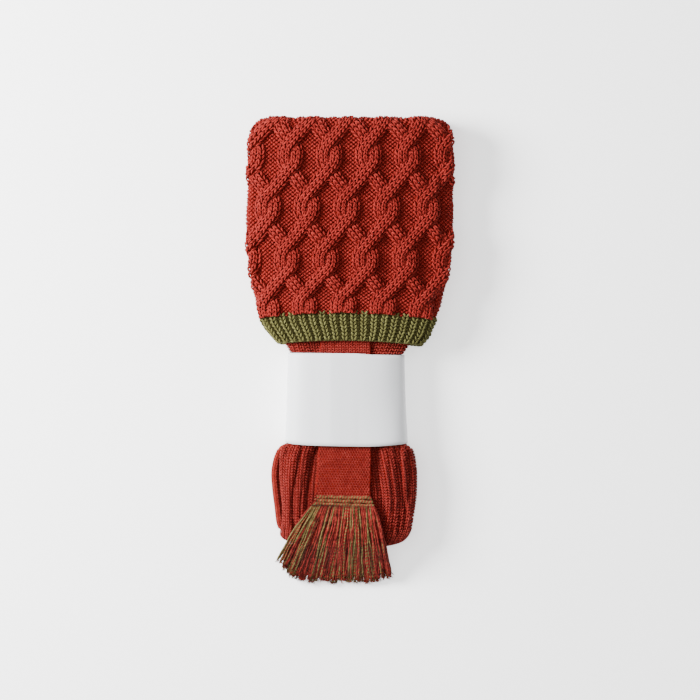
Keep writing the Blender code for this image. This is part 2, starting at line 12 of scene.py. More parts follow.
import bpy
import numpy as np
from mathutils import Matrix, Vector


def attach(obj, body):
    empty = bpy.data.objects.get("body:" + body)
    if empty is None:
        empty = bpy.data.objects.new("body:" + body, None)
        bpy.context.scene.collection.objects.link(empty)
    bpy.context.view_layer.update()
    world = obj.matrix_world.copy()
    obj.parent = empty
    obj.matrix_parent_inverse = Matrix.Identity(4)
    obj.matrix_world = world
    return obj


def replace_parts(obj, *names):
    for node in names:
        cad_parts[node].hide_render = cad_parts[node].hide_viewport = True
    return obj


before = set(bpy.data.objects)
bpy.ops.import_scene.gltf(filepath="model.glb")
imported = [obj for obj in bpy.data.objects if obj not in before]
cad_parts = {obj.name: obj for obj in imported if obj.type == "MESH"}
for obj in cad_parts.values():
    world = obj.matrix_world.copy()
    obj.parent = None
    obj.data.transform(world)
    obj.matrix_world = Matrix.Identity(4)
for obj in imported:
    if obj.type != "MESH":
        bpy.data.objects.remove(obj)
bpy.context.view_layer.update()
RNG = np.random.default_rng(20)
scatter = RNG.standard_normal
MM = 0.001
UP = np.array([0.0, 0.0, 1.0])


def table(fields, *rows):
    """Rows of numbers, each with these fields."""
    row_type = namedtuple("Row", fields)
    return tuple(row_type(*row) for row in rows)


# ==== sizes shared with the solids =================================================================
STITCHES, ROUND_CUFF = 88, 268.0
STITCH_MM = ROUND_CUFF / STITCHES
CABLE_REPEAT, KNOT_HALF, ROWS_PER_NODE = 8, 1.15, 13
CABLE_SWING = CABLE_REPEAT / 2 + 2 * KNOT_HALF
CROSSING = KNOT_HALF / CABLE_SWING
NODE_ROWS_MM, FIRST_NODE_Y = 32.2, 23.6
CABLE_HALF_WIDTH, CABLE_RISE, CABLE_UNDER = 1.6, 3.7, 0.28
TWIST, TWIST_FROM_Y = 0.02, 180.0
CROWDING_TOP, CROWDING_HEM = 0.03, 0.17
WALL, SIDE_RELIEF = 2.6, 1.1
FOLD_TOP_Y, CUFF_HEM_Y, BAND_HEM_Y = 143.8, 19.6, 2.9
ROLL_Y = FOLD_TOP_Y - WALL
FACING_FLAT = 1.16

CUFF_OUTLINE = table(
    "y left right",
    (143.8, -55.6, 56),
    (141.4, -59, 60.2),
    (137.6, -61.4, 62.4),
    (132.7, -62.4, 63.4),
    (124, -62.9, 63.8),
    (99, -64.2, 64.4),
    (80.6, -65.2, 64.5),
    (68.2, -64.3, 63.8),
    (55.8, -62.9, 62.1),
    (43.4, -61.4, 60),
    (31, -59.2, 57),
    (23.6, -57.2, 54.6),
    (18, -55.9, 52.9),
    (14.3, -54, 51.2),
    (10.5, -51.2, 49.6),
    (6.8, -48.3, 47.2),
    (4.3, -46.2, 45.2),
    (2.9, -44.6, 43.8),
)
UPPER_LIFT = table(
    "y low middle high",
    (143.8, 13.4, 18.6, 25.4),
    (136, 12.9, 18.4, 26.4),
    (110, 12.9, 18.4, 26.8),
    (60, 12.9, 18.4, 26.8),
    (30, 12.9, 18.6, 27.4),
    (14, 12.9, 18.8, 28.8),
    (6, 12.9, 18.8, 28.8),
    (2.9, 13.4, 18.8, 28.4),
)
LOWER_LIFT = table(
    "y low middle high",
    (143.8, 0.5, 6, 12),
    (136, 0, 6, 12.6),
    (30, 0, 6, 12.6),
    (6, 0, 6, 12.6),
    (2.9, 0.4, 6, 12.2),
)
FOLD_Y, FOLD_Z, FOLD_RADIUS = -108.5, 10.75, 6.75
LEG_TOP = FOLD_Z + FOLD_RADIUS
LEG_SQUARENESS = 2.8
LEG_FRONT = table(
    "y z left right thick trough",
    (22, 16.2, -43.5, 42, 7, 0.6),
    (10, 16.4, -42.4, 39.6, 7, 1.4),
    (4, 16.7, -39.6, 36.8, 7.3, 2),
    (-1, 17.1, -37.2, 33.4, 7.6, 2.3),
    (-5, LEG_TOP, -35.8, 31, 7.6, 2.3),
    (-48, LEG_TOP, -37.2, 32.8, 7.8, 2.3),
    (-56.5, LEG_TOP, -37.8, 33.4, 7.6, 2.6),
    (-59.2, LEG_TOP, -39.8, 36.4, 7.6, 3),
    (-61.4, LEG_TOP, -41.8, 39, 8.6, 3.8),
    (-68, LEG_TOP, -43.2, 40.6, 9.9, 4.8),
    (-78, LEG_TOP, -43.2, 41.4, 10.2, 5.2),
    (-88, LEG_TOP, -42.2, 41.2, 9.8, 5),
    (-98, LEG_TOP, -41.6, 39.9, 9, 4.4),
    (FOLD_Y, LEG_TOP, -41.8, 37.9, 8.2, 3.4),
)
LEG_TURN = table(
    "turn left right thick trough",
    (0, -41.8, 37.9, 8.2, 3.4),
    (30, -42.8, 35.9, 7.6, 2.6),
    (60, -43.2, 33.3, 6.8, 1.6),
    (90, -42.2, 30.8, 6.1, 0.8),
    (120, -40.6, 29.8, 5.2, 0),
    (150, -39, 31, 4.5, 0),
    (180, -39, 32, 4, 0),
)
LEG_BACK = table(
    "y left right thick",
    (-96, -41.5, 36.5, 4),
    (-64.5, -39.6, 35.6, 4),
    (-60.5, -33.6, 29.6, 3.1),
    (0.5, -30, 25.5, 2.2),
)
LOWER_LEG = table(
    "y low high left right",
    (22, 3.6, 8.8, -40, 39),
    (4, 4.3, 8.9, -36.6, 33.4),
    (0.5, 4.3, 9, -35.6, 31.6),
    (-4.5, 4.3, 15, -35.6, 30.8),
    (-10, 4.3, 17, -35.6, 30.8),
    (-50, 4.3, 17, -36.8, 32.4),
    (-57.5, 4.3, 17, -37.4, 33.2),
    (-60.6, 4.3, 17, -43.6, 38),
    (-70, 4.3, 17, -47.8, 40.2),
    (-78, 4.3, 17, -48.9, 41),
    (-88, 4.3, 17, -48.2, 40.6),
    (-98, 4.3, 17, -46.9, 39.8),
    (-106, 4.3, 17, -46, 36.4),
    (-110.5, 4.9, 16.5, -45, 33.6),
    (-113.4, 7.2, 14.3, -41.6, 30.8),
    (-114.6, 9.6, 11.9, -36, 28.4),
)
LAYERS, LAYER_GROOVE = 3, 1.5
BUNDLE_TILT, TILT_FROM_Y, TILT_TO_Y = 0.018, 6.0, -10.0
PAPER_THICKNESS, PAPER_MIDDLE_Z = 0.5, 12.0
PAPER_BAND = table(
    "y left right high bow",
    (-2.1, -38.6, 33.9, 27.1, 0),
    (-30, -39.2, 34.6, 27.3, 0),
    (-57.6, -40.3, 36, 27.5, 2.1),
)
GARTER_THICKNESS, GARTER_CLEAR = 1.7, 0.6
GARTER = table(
    "y left right",
    (15, -17.6, 12.6),
    (4, -18.4, 12.8),
    (-4, -18.9, 12.9),
    (-14, -19, 13),
    (-48, -19.1, 13),
    (-58, -19.3, 13),
    (-66, -19.8, 13),
    (-78, -20.6, 12.8),
    (-86, -21.6, 12.6),
    (-90.6, -22.2, 13),
)
(HEADING,) = table("left right top_y bottom_y", (-22.9, 15.4, -90.9, -97.6))


def smooth_step(low, high, value):
    share = np.clip((np.asarray(value, float) - low) / (high - low), 0.0, 1.0)
    return share * share * (3 - 2 * share)


def from_table(table, y):
    """The table's columns at every y, on smooth curves with no overshoot."""
    rows = sorted(table)
    at = np.array([row.y for row in rows])
    values = np.array(rows, float)
    y = np.clip(np.asarray(y, float), at[0], at[-1])
    i = np.clip(np.searchsorted(at, y) - 1, 0, len(rows) - 2)
    step = at[i + 1] - at[i]
    share = ((y - at[i]) / step)[..., None]
    step = step[..., None]
    grades = np.diff(values, axis=0) / np.diff(at)[:, None]
    before, after = grades[:-1], grades[1:]
    same_way = before * after > 0
    between = np.where(same_way, 2 * before * after / np.where(same_way, before + after, 1), 0)
    slopes = np.vstack([grades[:1], between, grades[-1:]])
    out = (
        (2 * share**3 - 3 * share**2 + 1) * values[i]
        + (share**3 - 2 * share**2 + share) * step * slopes[i]
        + (3 * share**2 - 2 * share**3) * values[i + 1]
        + (share**3 - share**2) * step * slopes[i + 1]
    )
    return type(table[0])(*np.moveaxis(out, -1, 0))


def spaced(*runs):
    """Runs of evenly spaced numbers, each run (first, last, count)."""
    return np.concatenate([np.linspace(*run) for run in runs])


def distances(points):
    """How far along its path each of the points is."""
    return np.concatenate([[0], np.cumsum(np.linalg.norm(np.diff(points, axis=0), axis=1))])


def half_and_centre(left, right):
    return (right - left) / 2, (right + left) / 2


def unit(vectors):
    return vectors / np.maximum(np.linalg.norm(vectors, axis=-1), 1e-9)[..., None]


# ==== sections =====================================================================================
Box = namedtuple("Box", "left right low middle high")
Side = namedtuple("Side", "squareness flat")
PRESSED = Side(3.2, FACING_FLAT)
LEG_SIDE = Side(LEG_SQUARENESS, 1.0)
PAPER_TOP, PAPER_BOTTOM = Side(3.5, 1.0), Side(4.4, 1.08)


def rounded(sines, exponent):
    return np.sign(sines) * np.abs(sines) ** (2 / exponent)


def section_points(angles, box, top, bottom):
    half, centre = half_and_centre(box.left, box.right)
    sine, cosine = np.sin(angles), np.cos(angles)
    above = cosine >= 0
    across = np.where(above, rounded(sine, top.squareness), rounded(sine, bottom.squareness))
    up = np.minimum(top.flat * rounded(np.clip(cosine, 0, 1), top.squareness), 1)
    down = np.minimum(bottom.flat * rounded(np.clip(-cosine, 0, 1), bottom.squareness), 1)
    heights = np.where(above, up * (box.high - box.middle), -down * (box.middle - box.low))
    return np.stack([centre + half * across, box.middle + heights], axis=-1)


def fine_angles(reach, count):
    """Angles from -reach to reach, closest at the quarter turns, where a squarish section's points part."""
    even = np.linspace(-reach, reach, count)
    return even - 0.249 * np.sin(4 * even)


ALL_ROUND = fine_angles(pi, 1441)
OVER_TOP = fine_angles(pi / 2, 721)


def angles_at(shares, make_points):
    """The angles at these shares of the way round a section, from the middle of its top."""
    lengths = distances(make_points(ALL_ROUND))
    at = np.asarray(shares) * lengths[-1] + np.interp(0.0, ALL_ROUND, lengths)
    turns = np.floor(at / lengths[-1])
    return np.interp(at - turns * lengths[-1], lengths, ALL_ROUND) + tau * turns


CUFF_CREASES = table(
    "depth half_width path",
    (1.8, 1.6, ((54.6, 118), (55.8, 90.2), (56.4, 62))),
    (2.2, 1.6, ((53.4, 41), (50.2, 16))),
    (1.3, 1.4, ((-57.7, 126), (-58.3, 93), (-56.6, 60), (-54.8, 34))),
    (1.2, 4, ((23.6, 72), (22.3, 30))),
    (1.2, 5, ((46.5, 78), (43, 30))),
    (0.9, 4, ((-4, 66), (-2, 28))),
    (0.9, 4, ((-32, 96), (-36, 60))),
)
LEG_CREASES = table(
    "depth half_width path",
    (
        2.8,
        0.75,
        ((-29.1, -57), (-32.2, -71), (-34.7, -83.4), (-35.7, -92.7), (-35.4, -105), (-33.8, -119)),
    ),
    (
        3.6,
        1.4,
        ((-19.2, -56), (-23.6, -69.1), (-25.4, -79.1), (-27, -89.6), (-27.5, -106), (-26.5, -119)),
    ),
    (-1.6, 1.6, ((-32.9, -61), (-36.6, -71.6), (-38.4, -84.6), (-38.8, -101.4), (-36.6, -119))),
    (1.6, 0.8, ((-37.5, -58), (-41, -67), (-41.4, -78), (-40.6, -90))),
    (1.6, 0.8, ((-24.5, -62), (-28.6, -80), (-31, -96), (-30.6, -116))),
    (3.6, 2.8, ((16.8, -56), (18, -80.3), (19.8, -92.7), (20.8, -119))),
    (1.8, 0.9, ((22.9, -57), (24.5, -74.1), (26.7, -92.7), (26, -116))),
    (2.2, 1, ((27.3, -57), (29, -74.1), (31, -92.7), (29.6, -116))),
    (2, 1.1, ((30.2, -57), (31.4, -74), (32.2, -86), (34, -98), (33, -113))),
    (-1.6, 0.9, ((32.4, -60), (33.6, -76), (34.2, -90), (36.9, -103), (35.4, -113))),
    (1.7, 1.3, ((35.6, -60), (37, -76), (36.4, -88), (34.2, -98))),
    (-0.4, 0.8, ((38, -64), (39.4, -78), (38.6, -90), (37.6, -101))),
    (4.2, 4, ((42, -60), (44.4, -76), (44, -90), (42.6, -103), (40, -113))),
)


def crease_depth(points, creases):
    """How far down the cloth lies in its creases, or up on its rolls, which have a depth below zero."""
    x, y = points[..., 0], points[..., 1]
    depth = np.zeros(x.shape)
    for crease in creases:
        path = np.array(sorted(crease.path, key=lambda at: at[1]), float)
        middle = np.interp(y, path[:, 1], path[:, 0])
        first, last = path[0, 1], path[-1, 1]
        fade = smooth_step(first - 2, first + 5, y) * smooth_step(last + 2, last - 5, y)
        depth += crease.depth * np.exp(-(((x - middle) / crease.half_width) ** 2)) * fade
    return depth


class Surface:
    """A grid of points, with columns round it (u) and rows along it (v), that yarn is laid on."""

    def __init__(self, us, vs, points, flip=False, creases=()):
        self.us, self.vs, self.points = us, vs, points
        across = np.gradient(points, us, axis=1)
        along = np.gradient(points, vs, axis=0)
        self.normals = unit(np.cross(along, across) if flip else np.cross(across, along))
        if creases:
            self.points = points.copy()
            self.points[..., 2] -= crease_depth(points, creases) * smooth_step(0.0, 0.6, self.normals[..., 2])

    def at(self, u, v, w=0.0):
        """(points, normals) at these places, w above the surface."""
        u, v, w = np.broadcast_arrays(u, v, w)
        fu = np.clip((u - self.us[0]) / (self.us[1] - self.us[0]), 0, len(self.us) - 1.001)
        fv = np.interp(v, self.vs, np.arange(len(self.vs)))
        fv = np.clip(fv, 0, len(self.vs) - 1.001)
        i, j = fv.astype(int), fu.astype(int)
        a, b = (fv - i)[..., None], (fu - j)[..., None]

        def blend(grid):
            return (1 - a) * ((1 - b) * grid[i, j] + b * grid[i, j + 1]) + a * (
                (1 - b) * grid[i + 1, j] + b * grid[i + 1, j + 1]
            )

        normals = unit(blend(self.normals))
        return blend(self.points) + normals * w[..., None], normals


# ==== meshes =======================================================================================
LOWEST = 0.00002


def corner_uvs(us, vs):
    """The uvs of faces, from the u and the v of each of their corners in turn."""
    return np.stack([np.stack(np.broadcast_arrays(u, v), axis=-1) for u, v in zip(us, vs)], axis=-2)


class Mesh:
    """Collects points and faces, in millimetres, for one piece."""

    def __init__(self):
        self.points, self.loops, self.sizes, self.uvs, self.count = [], [], [], [], 0

    def add(self, points, faces, uvs=None):
        """faces is a list of index arrays, one row a face, and uvs the same with two numbers a corner."""
        points = np.asarray(points).reshape(-1, 3)
        self.points.append(points)
        for k, group in enumerate(faces):
            self.loops.append((group + self.count).ravel())
            self.sizes.append(np.full(len(group), group.shape[1]))
            self.uvs.append((np.zeros((group.size, 2)) if uvs is None else uvs[k]).reshape(-1, 2))
        self.count += len(points)

    def grid(self, points, caps=False):
        """A closed skin through a (rows, columns, 3) grid. Its columns join up, its rows too or with caps."""
        rows, columns = points.shape[:2]
        index = np.arange(rows * columns).reshape(rows, columns)
        index = np.hstack([index, index[:, :1]])
        if not caps:
            index = np.vstack([index, index[:1]])
        quads = np.stack([index[:-1, :-1], index[:-1, 1:], index[1:, 1:], index[1:, :-1]], axis=-1)
        faces = [quads.reshape(-1, 4)]
        if caps:
            faces += [index[0, :-1][None, ::-1], index[-1, :-1][None]]
        self.add(points, faces)

    def tubes(self, path, normals, radii, sides=6, length=3.0):
        """Tubes along a (tubes, rings, 3) or (rings, 3) path. Their first and last rings close to a point."""
        if not len(path):
            return
        path = path.reshape(-1, *path.shape[-2:])
        tangent = np.gradient(path, axis=1)
        across = unit(np.cross(tangent, np.broadcast_to(normals, path.shape)))
        up = unit(np.cross(across, tangent))
        angles = np.arange(sides) * tau / sides
        radii = np.broadcast_to(radii, path.shape[:2])[:, 1:-1, None, None]
        rings = path[:, 1:-1, None] + radii * (
            np.cos(angles)[None, None, :, None] * across[:, 1:-1, None]
            + np.sin(angles)[None, None, :, None] * up[:, 1:-1, None]
        )
        tubes, inner = rings.shape[:2]
        per = inner * sides + 2
        points = np.empty((tubes, per, 3))
        points[:, : inner * sides] = rings.reshape(tubes, -1, 3)
        points[:, -2], points[:, -1] = path[:, 0], path[:, -1]
        ring = np.arange(inner * sides).reshape(inner, sides)
        turned = np.roll(ring, -1, axis=1)
        quads = np.stack([ring[:-1], ring[1:], turned[1:], turned[:-1]], axis=-1).reshape(-1, 4)
        first = np.stack([np.full(sides, per - 2), ring[0], turned[0]], axis=-1)
        last = np.stack([np.full(sides, per - 1), turned[-1], ring[-1]], axis=-1)
        ends = np.concatenate([first, last])

        a0, a1 = np.arange(sides) / sides, (np.arange(sides) + 1) / sides
        tip = (a0 + a1) / 2
        v = np.linspace(0, length, inner + 2)
        near, far = v[1:-2, None], v[2:-1, None]
        quad_uv = corner_uvs((a0, a0, a1, a1), (near, far, far, near))
        first_uv = corner_uvs((tip, a0, a1), (v[0], v[1], v[1]))
        last_uv = corner_uvs((tip, a1, a0), (v[-1], v[-2], v[-2]))
        end_uv = np.concatenate([first_uv, last_uv])
        start = (np.arange(tubes) * per)[:, None, None]
        self.add(
            points,
            [(faces[None] + start).reshape(-1, faces.shape[1]) for faces in (quads, ends)],
            [np.tile(uv.reshape(1, -1, 2), (tubes, 1, 1)) for uv in (quad_uv, end_uv)],
        )

    def make(self, name, material):
        """The piece, on the body and in its material's slot."""
        points = np.concatenate(self.points) * MM
        points[:, 2] = np.maximum(points[:, 2], LOWEST)
        loops, sizes = np.concatenate(self.loops), np.concatenate(self.sizes)
        mesh = bpy.data.meshes.new(name)
        mesh.vertices.add(len(points))
        mesh.vertices.foreach_set("co", points.astype(np.float32).ravel())
        mesh.loops.add(len(loops))
        mesh.loops.foreach_set("vertex_index", loops.astype(np.int32))
        mesh.polygons.add(len(sizes))
        starts = np.concatenate([[0], np.cumsum(sizes)[:-1]])
        mesh.polygons.foreach_set("loop_start", starts.astype(np.int32))
        mesh.polygons.foreach_set("use_smooth", np.full(len(sizes), True))
        uv_map = mesh.uv_layers.new(name="yarn")
        uv_map.data.foreach_set("uv", np.concatenate(self.uvs).astype(np.float32).ravel())
        mesh.update(calc_edges=True)
        mesh.materials.append(material)
        piece = bpy.data.objects.new(name, mesh)
        bpy.context.scene.collection.objects.link(piece)
        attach(piece, "root")
        return piece


def make_body(name, points, material, caps=False):
    body = Mesh()
    body.grid(points, caps)
    return body.make(name, material)


def as_cloth(ground, solid, stitches):
    """The ground and its stitches stand for the solid, which is hidden."""
    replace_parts(ground, solid)


# ==== materials ====================================================================================
def set_inputs(node, **values):
    """The values of a node's inputs, whose names have _ for each space."""
    for name, value in values.items():
        node.inputs[name.replace("_", " ")].default_value = value


def new_node(tree, kind, **values):
    node = tree.nodes.new("ShaderNode" + kind)
    set_inputs(node, **values)
    return node


def new_material(name, **values):
    material = bpy.data.materials.new(name)
    material.use_nodes = True
    shader = material.node_tree.nodes["Principled BSDF"]
    set_inputs(shader, **values)
    return material, material.node_tree, shader


def noise(tree, scale, detail, roughness=0.5):
    """Noise in the object's own place."""
    node = new_node(tree, "TexNoise", Scale=scale, Detail=detail, Roughness=roughness)
    tree.links.new(new_node(tree, "TexCoord").outputs["Object"], node.inputs["Vector"])
    return node.outputs["Fac"]


def calculate(tree, operation, first, factor=None, added=None):
    """The output of a maths node."""
    node = new_node(tree, "Math")
    node.operation = operation
    tree.links.new(first, node.inputs[0])
    if factor is not None:
        node.inputs[1].default_value = factor
    if added is not None:
        tree.links.new(added, node.inputs[2])
    return node.outputs[0]


def ramp(tree, share, low, high):
    """A colour that runs from low to high, which are each a place and a colour."""
    node = new_node(tree, "ValToRGB")
    for element, (place, colour) in zip(node.color_ramp.elements, (low, high)):
        element.position, element.color = place, (*colour, 1)
    tree.links.new(share, node.inputs["Fac"])
    return node.outputs["Color"]


def bump(tree, shader, height, strength, distance):
    node = new_node(tree, "Bump", Strength=strength, Distance=distance)
    tree.links.new(height, node.inputs["Height"])
    tree.links.new(node.outputs["Normal"], shader.inputs["Normal"])


def wool(name, light, dark, sheen, plies=3, ply_mm=3.2, other=None):
    """Spun yarn: plies that twist round it, fine fibres, and a colour that wanders along it.

    The grooves between the plies are darkened, as painted shade, or, where other is given, have that colour.
    """
    material, tree, shader = new_material(name, Roughness=0.9, Specular_IOR_Level=0.16)
    tint = (*[min(1.0, 0.35 + 0.65 * value) for value in light], 1)
    set_inputs(shader, Sheen_Weight=sheen, Sheen_Roughness=0.45, Sheen_Tint=tint)
    uv, split = new_node(tree, "UVMap"), new_node(tree, "SeparateXYZ")
    uv.uv_map = "yarn"
    tree.links.new(uv.outputs["UV"], split.inputs[0])
    around = calculate(tree, "MULTIPLY", split.outputs["X"], tau * plies)
    along = calculate(tree, "MULTIPLY_ADD", split.outputs["Y"], pi * plies / ply_mm, around)
    wave = calculate(tree, "COSINE", along)

    between = new_node(tree, "MapRange", From_Min=0.15 if other else 0.0, From_Max=-0.25 if other else -1.0)
    tree.links.new(wave, between.inputs["Value"])
    # in the grooves the yarn's colour is multiplied by 0.55, painted shade, unless the other ply's colour is
    # given
    mixed = new_node(tree, "Mix")
    mixed.data_type = "RGBA"
    mixed.blend_type = "MIX" if other else "MULTIPLY"
    mixed.inputs["B"].default_value = (*other, 1) if other else (0.55, 0.55, 0.55, 1)
    tree.links.new(between.outputs["Result"], mixed.inputs["Factor"])
    tree.links.new(ramp(tree, noise(tree, 330, 4, 0.65), (0.34, dark), (0.66, light)), mixed.inputs["A"])
    tree.links.new(mixed.outputs["Result"], shader.inputs["Base Color"])
    fibres = noise(tree, 2400, 3)
    bump(tree, shader, calculate(tree, "MULTIPLY_ADD", wave, 0.5, fibres), 0.5, 0.00022)
    return material


def mottled(name, dark, light, scale, detail, strength, distance, **values):
    """A mottled colour, with a bump to match."""
    material, tree, shader = new_material(name, **values)
    mottle = noise(tree, scale, detail)
    tree.links.new(ramp(tree, mottle, dark, light), shader.inputs["Base Color"])
    bump(tree, shader, mottle, strength, distance)
    return material


def cloth(name, light, dark, scale=900):
    """The knitted ground under the yarn: rough and mottled, and dark as painted shade in the gaps between the
    stitches.
    """
    values = {"Roughness": 0.95, "Specular_IOR_Level": 0.1}
    return mottled(name, (0.35, dark), (0.65, light), scale, 4, 0.7, 0.0004, **values)


def smooth_paper():
    dark, light = (0.3, (0.66, 0.67, 0.69)), (0.7, (0.70, 0.705, 0.72))
    return mottled("paper", dark, light, 1500, 3, 0.12, 0.0001, Roughness=0.42, Specular_IOR_Level=0.4)


RED_WOOL = wool("red_wool", (0.285, 0.020, 0.014), (0.16, 0.008, 0.005), 0.035)
RED_FINE = wool("red_fine_wool", (0.29, 0.030, 0.022), (0.15, 0.010, 0.007), 0.04, 2, 1.8)
# the grounds' dark reds are painted shade in the gaps between and under the stitches; the lower leg's cloth
# is a little less dark
RED_SHADE_GROUND = cloth("red_shade_ground", (0.165, 0.006, 0.003), (0.08, 0.003, 0.002))
RED_KNIT = cloth("red_knit", (0.22, 0.018, 0.010), (0.12, 0.007, 0.004), scale=1100)
OLIVE_WOOL = wool("olive_wool", (0.145, 0.140, 0.044), (0.072, 0.066, 0.017), 0.03)
# the hems' dark olive ground is painted shade in the valleys between the ribs
OLIVE_SHADE_GROUND = cloth("olive_shade_ground", (0.075, 0.065, 0.018), (0.032, 0.027, 0.008))
FRINGE_RED = wool("fringe_red", (0.26, 0.025, 0.017), (0.09, 0.004, 0.003), 0.03, 2, 2.2)
# the dark fringe yarn is painted shade among and under the strands
FRINGE_SHADE_DARK = wool("fringe_shade_dark", (0.095, 0.014, 0.006), (0.03, 0.004, 0.001), 0.01, 2, 2.2)
FRINGE_OLIVE = wool("fringe_olive", (0.175, 0.125, 0.042), (0.065, 0.05, 0.014), 0.05, 2, 2.2)
BROWN = (0.13, 0.09, 0.03)
FRINGE_MIXED = wool("fringe_mixed", (0.24, 0.025, 0.013), (0.13, 0.008, 0.004), 0.04, 1, 1, BROWN)
PAPER = smooth_paper()


# ==== stitches =====================================================================================
Stitch = namedtuple("Stitch", "along swell hump")


def stitch(*profiles):
    """One leg of a V stitch: how far along, how thick and how high its yarn is, point by point."""
    return Stitch(*np.array(profiles, float))


CABLE_STITCH = stitch((0, 0.16, 0.4, 0.64, 0.86, 1), (0, 0.8, 1, 1, 0.8, 0), (-0.9, 0, 0.5, 0.55, 0.05, -0.8))
HEM_STITCH = stitch((0, 0.14, 0.38, 0.64, 0.86, 1), (0, 0.75, 1, 1, 0.75, 0), (-0.8, 0, 0.45, 0.45, 0, -0.7))
RIB_STITCH = stitch((0, 0.2, 0.5, 0.8, 1), (0, 0.95, 1, 0.85, 0), (-0.55, 0.2, 0.45, 0.15, -0.7))
CABLE_YARN, PURL_YARN, HEM_YARN, RIB_YARN, GARTER_YARN = 0.64, 0.6, 0.66, 0.42, 0.40
# yarn is left out where its share of what shows is below this, and lies this far in where none of it shows
LEAST_SHOWN, SUNK = 0.02, 0.9


def lay_ribs(yarn, surface, ribs, rows, row_mm, shown, lift):
    """Ribs of V stitches, with a low purl column beside each. shown(points, normals) says which to keep."""
    along, swell, hump = RIB_STITCH
    for rib, side in product(ribs, (-1, 1, 0)):
        stray = scatter((2, len(rows), 1))
        if side:
            v = rows[:, None] + row_mm * (-0.42 + 0.95 * along + 0.05 * stray[0])
            u = rib + side * (0.03 + 0.40 * along**0.9)
            w = lift + (hump - 0.8 * np.abs(u - rib)) * (1 + 0.1 * stray[1])
        else:
            v = rows[:, None] + row_mm * (0.2 * np.cos(tau * along) + 0.05 * stray[0])
            u = rib + 0.5 + 0.15 * (2 * along - 1)
            w = lift - 0.95 + 0.3 * hump
        _, normals = surface.at(u, v)
        w = w * (0.35 + 0.65 * smooth_step(0.0, 0.5, normals[..., 2]))
        path, normals = surface.at(u, v, w)
        keep = shown(path[:, 2], normals[:, 2])
        yarn.tubes(path[keep], normals[keep], RIB_YARN * swell, sides=5, length=1.5)


# ==== the cuffs ====================================================================================
Sock = namedtuple("Sock", "name lift shift top")
UPPER = Sock("upper", UPPER_LIFT, (0.0, 0.0), Side(2.7, 1.0))
LOWER = Sock("lower", LOWER_LIFT, (0.4, -0.8), PRESSED)
HALF_ROUND = STITCHES // 2
CUFF_US = np.arange(-HALF_ROUND - 2, HALF_ROUND + 2.01, 0.25)
CUFF_ROW_MM = NODE_ROWS_MM / ROWS_PER_NODE
BAND_CROWDING = 0.27

# how far a strand has wandered, and how fast, on its way from one row of crossings to the next
SWING_STEPS = np.linspace(0, 1, 201)
SWING_SPEED = np.interp(SWING_STEPS, [0, 0.05, 0.2, 0.8, 0.95, 1], [0, 0, 1, 1, 0, 0])
SWING_PLACE = np.concatenate([[0], np.cumsum((SWING_SPEED[1:] + SWING_SPEED[:-1]) / 2)])
SWING_MEAN = SWING_PLACE[-1] / (len(SWING_STEPS) - 1)
SWING_PLACE /= SWING_PLACE[-1]


def strand_path(cable, which, v):
    """(stitch, rise, slope) of one strand of a cable at each v. which is 0 or 1."""
    travel = (v - FIRST_NODE_Y) / NODE_ROWS_MM
    row = np.floor(travel)
    place = np.interp(travel - row, SWING_STEPS, SWING_PLACE)
    speed = np.interp(travel - row, SWING_STEPS, SWING_SPEED) / SWING_MEAN
    goes_right = row % 2 == 0
    swing = np.where(goes_right, place, 1 - place)
    near = np.minimum(np.abs(swing - CROSSING), np.abs(swing - 1 + CROSSING))
    crossing = np.clip(1 - (near / 0.2) ** 2, 0, 1)
    in_front = goes_right == (which == 0)
    over = CABLE_RISE * (1 + 0.25 * crossing)
    under = CABLE_RISE * (1 - (1 - CABLE_UNDER) * crossing)
    way = 1 if which == 0 else -1
    at = cable * CABLE_REPEAT + way * (CABLE_SWING * swing - KNOT_HALF)
    slope = speed * CABLE_SWING * STITCH_MM / NODE_ROWS_MM * np.where(in_front, 1, -1)
    rise = np.where(in_front, over, under) * (1 - 0.5 * smooth_step(ROLL_Y - 9, ROLL_Y + 2, v))
    return at, rise, slope


def rope(off):
    """A strand's rounded profile at this many stitches off its middle."""
    return np.clip(1 - (np.abs(off) / CABLE_HALF_WIDTH) ** 3, 0, 1)


def cable_height(us, v):
    height = np.zeros(np.broadcast(us, v).shape)
    for cable, which in product(range(-6, 7), (0, 1)):
        middle, rise, slope = strand_path(cable, which, v)
        off = (us - middle + STITCHES / 2) % STITCHES - STITCHES / 2
        height = np.maximum(height, rise * rope(off / np.sqrt(1 + slope**2)))
    return height


def cuff_path(v):
    """(y, inset) at each distance v along a wale, from the hem up over the fold and down inside."""
    turn = np.clip((v - ROLL_Y) / WALL, 0, pi)
    past = np.maximum(v - ROLL_Y - pi * WALL, 0)
    return np.where(v < ROLL_Y, v, ROLL_Y + WALL * np.sin(turn) - past), WALL * (1 - np.cos(turn))


def hem_bow(x, y):
    """How far the hem and the rows over it are drawn up where the legs come out."""
    return 3.3 * (1 - np.minimum(np.abs(x + 6) / 52, 1.2) ** 2) * smooth_step(58, 16, y)


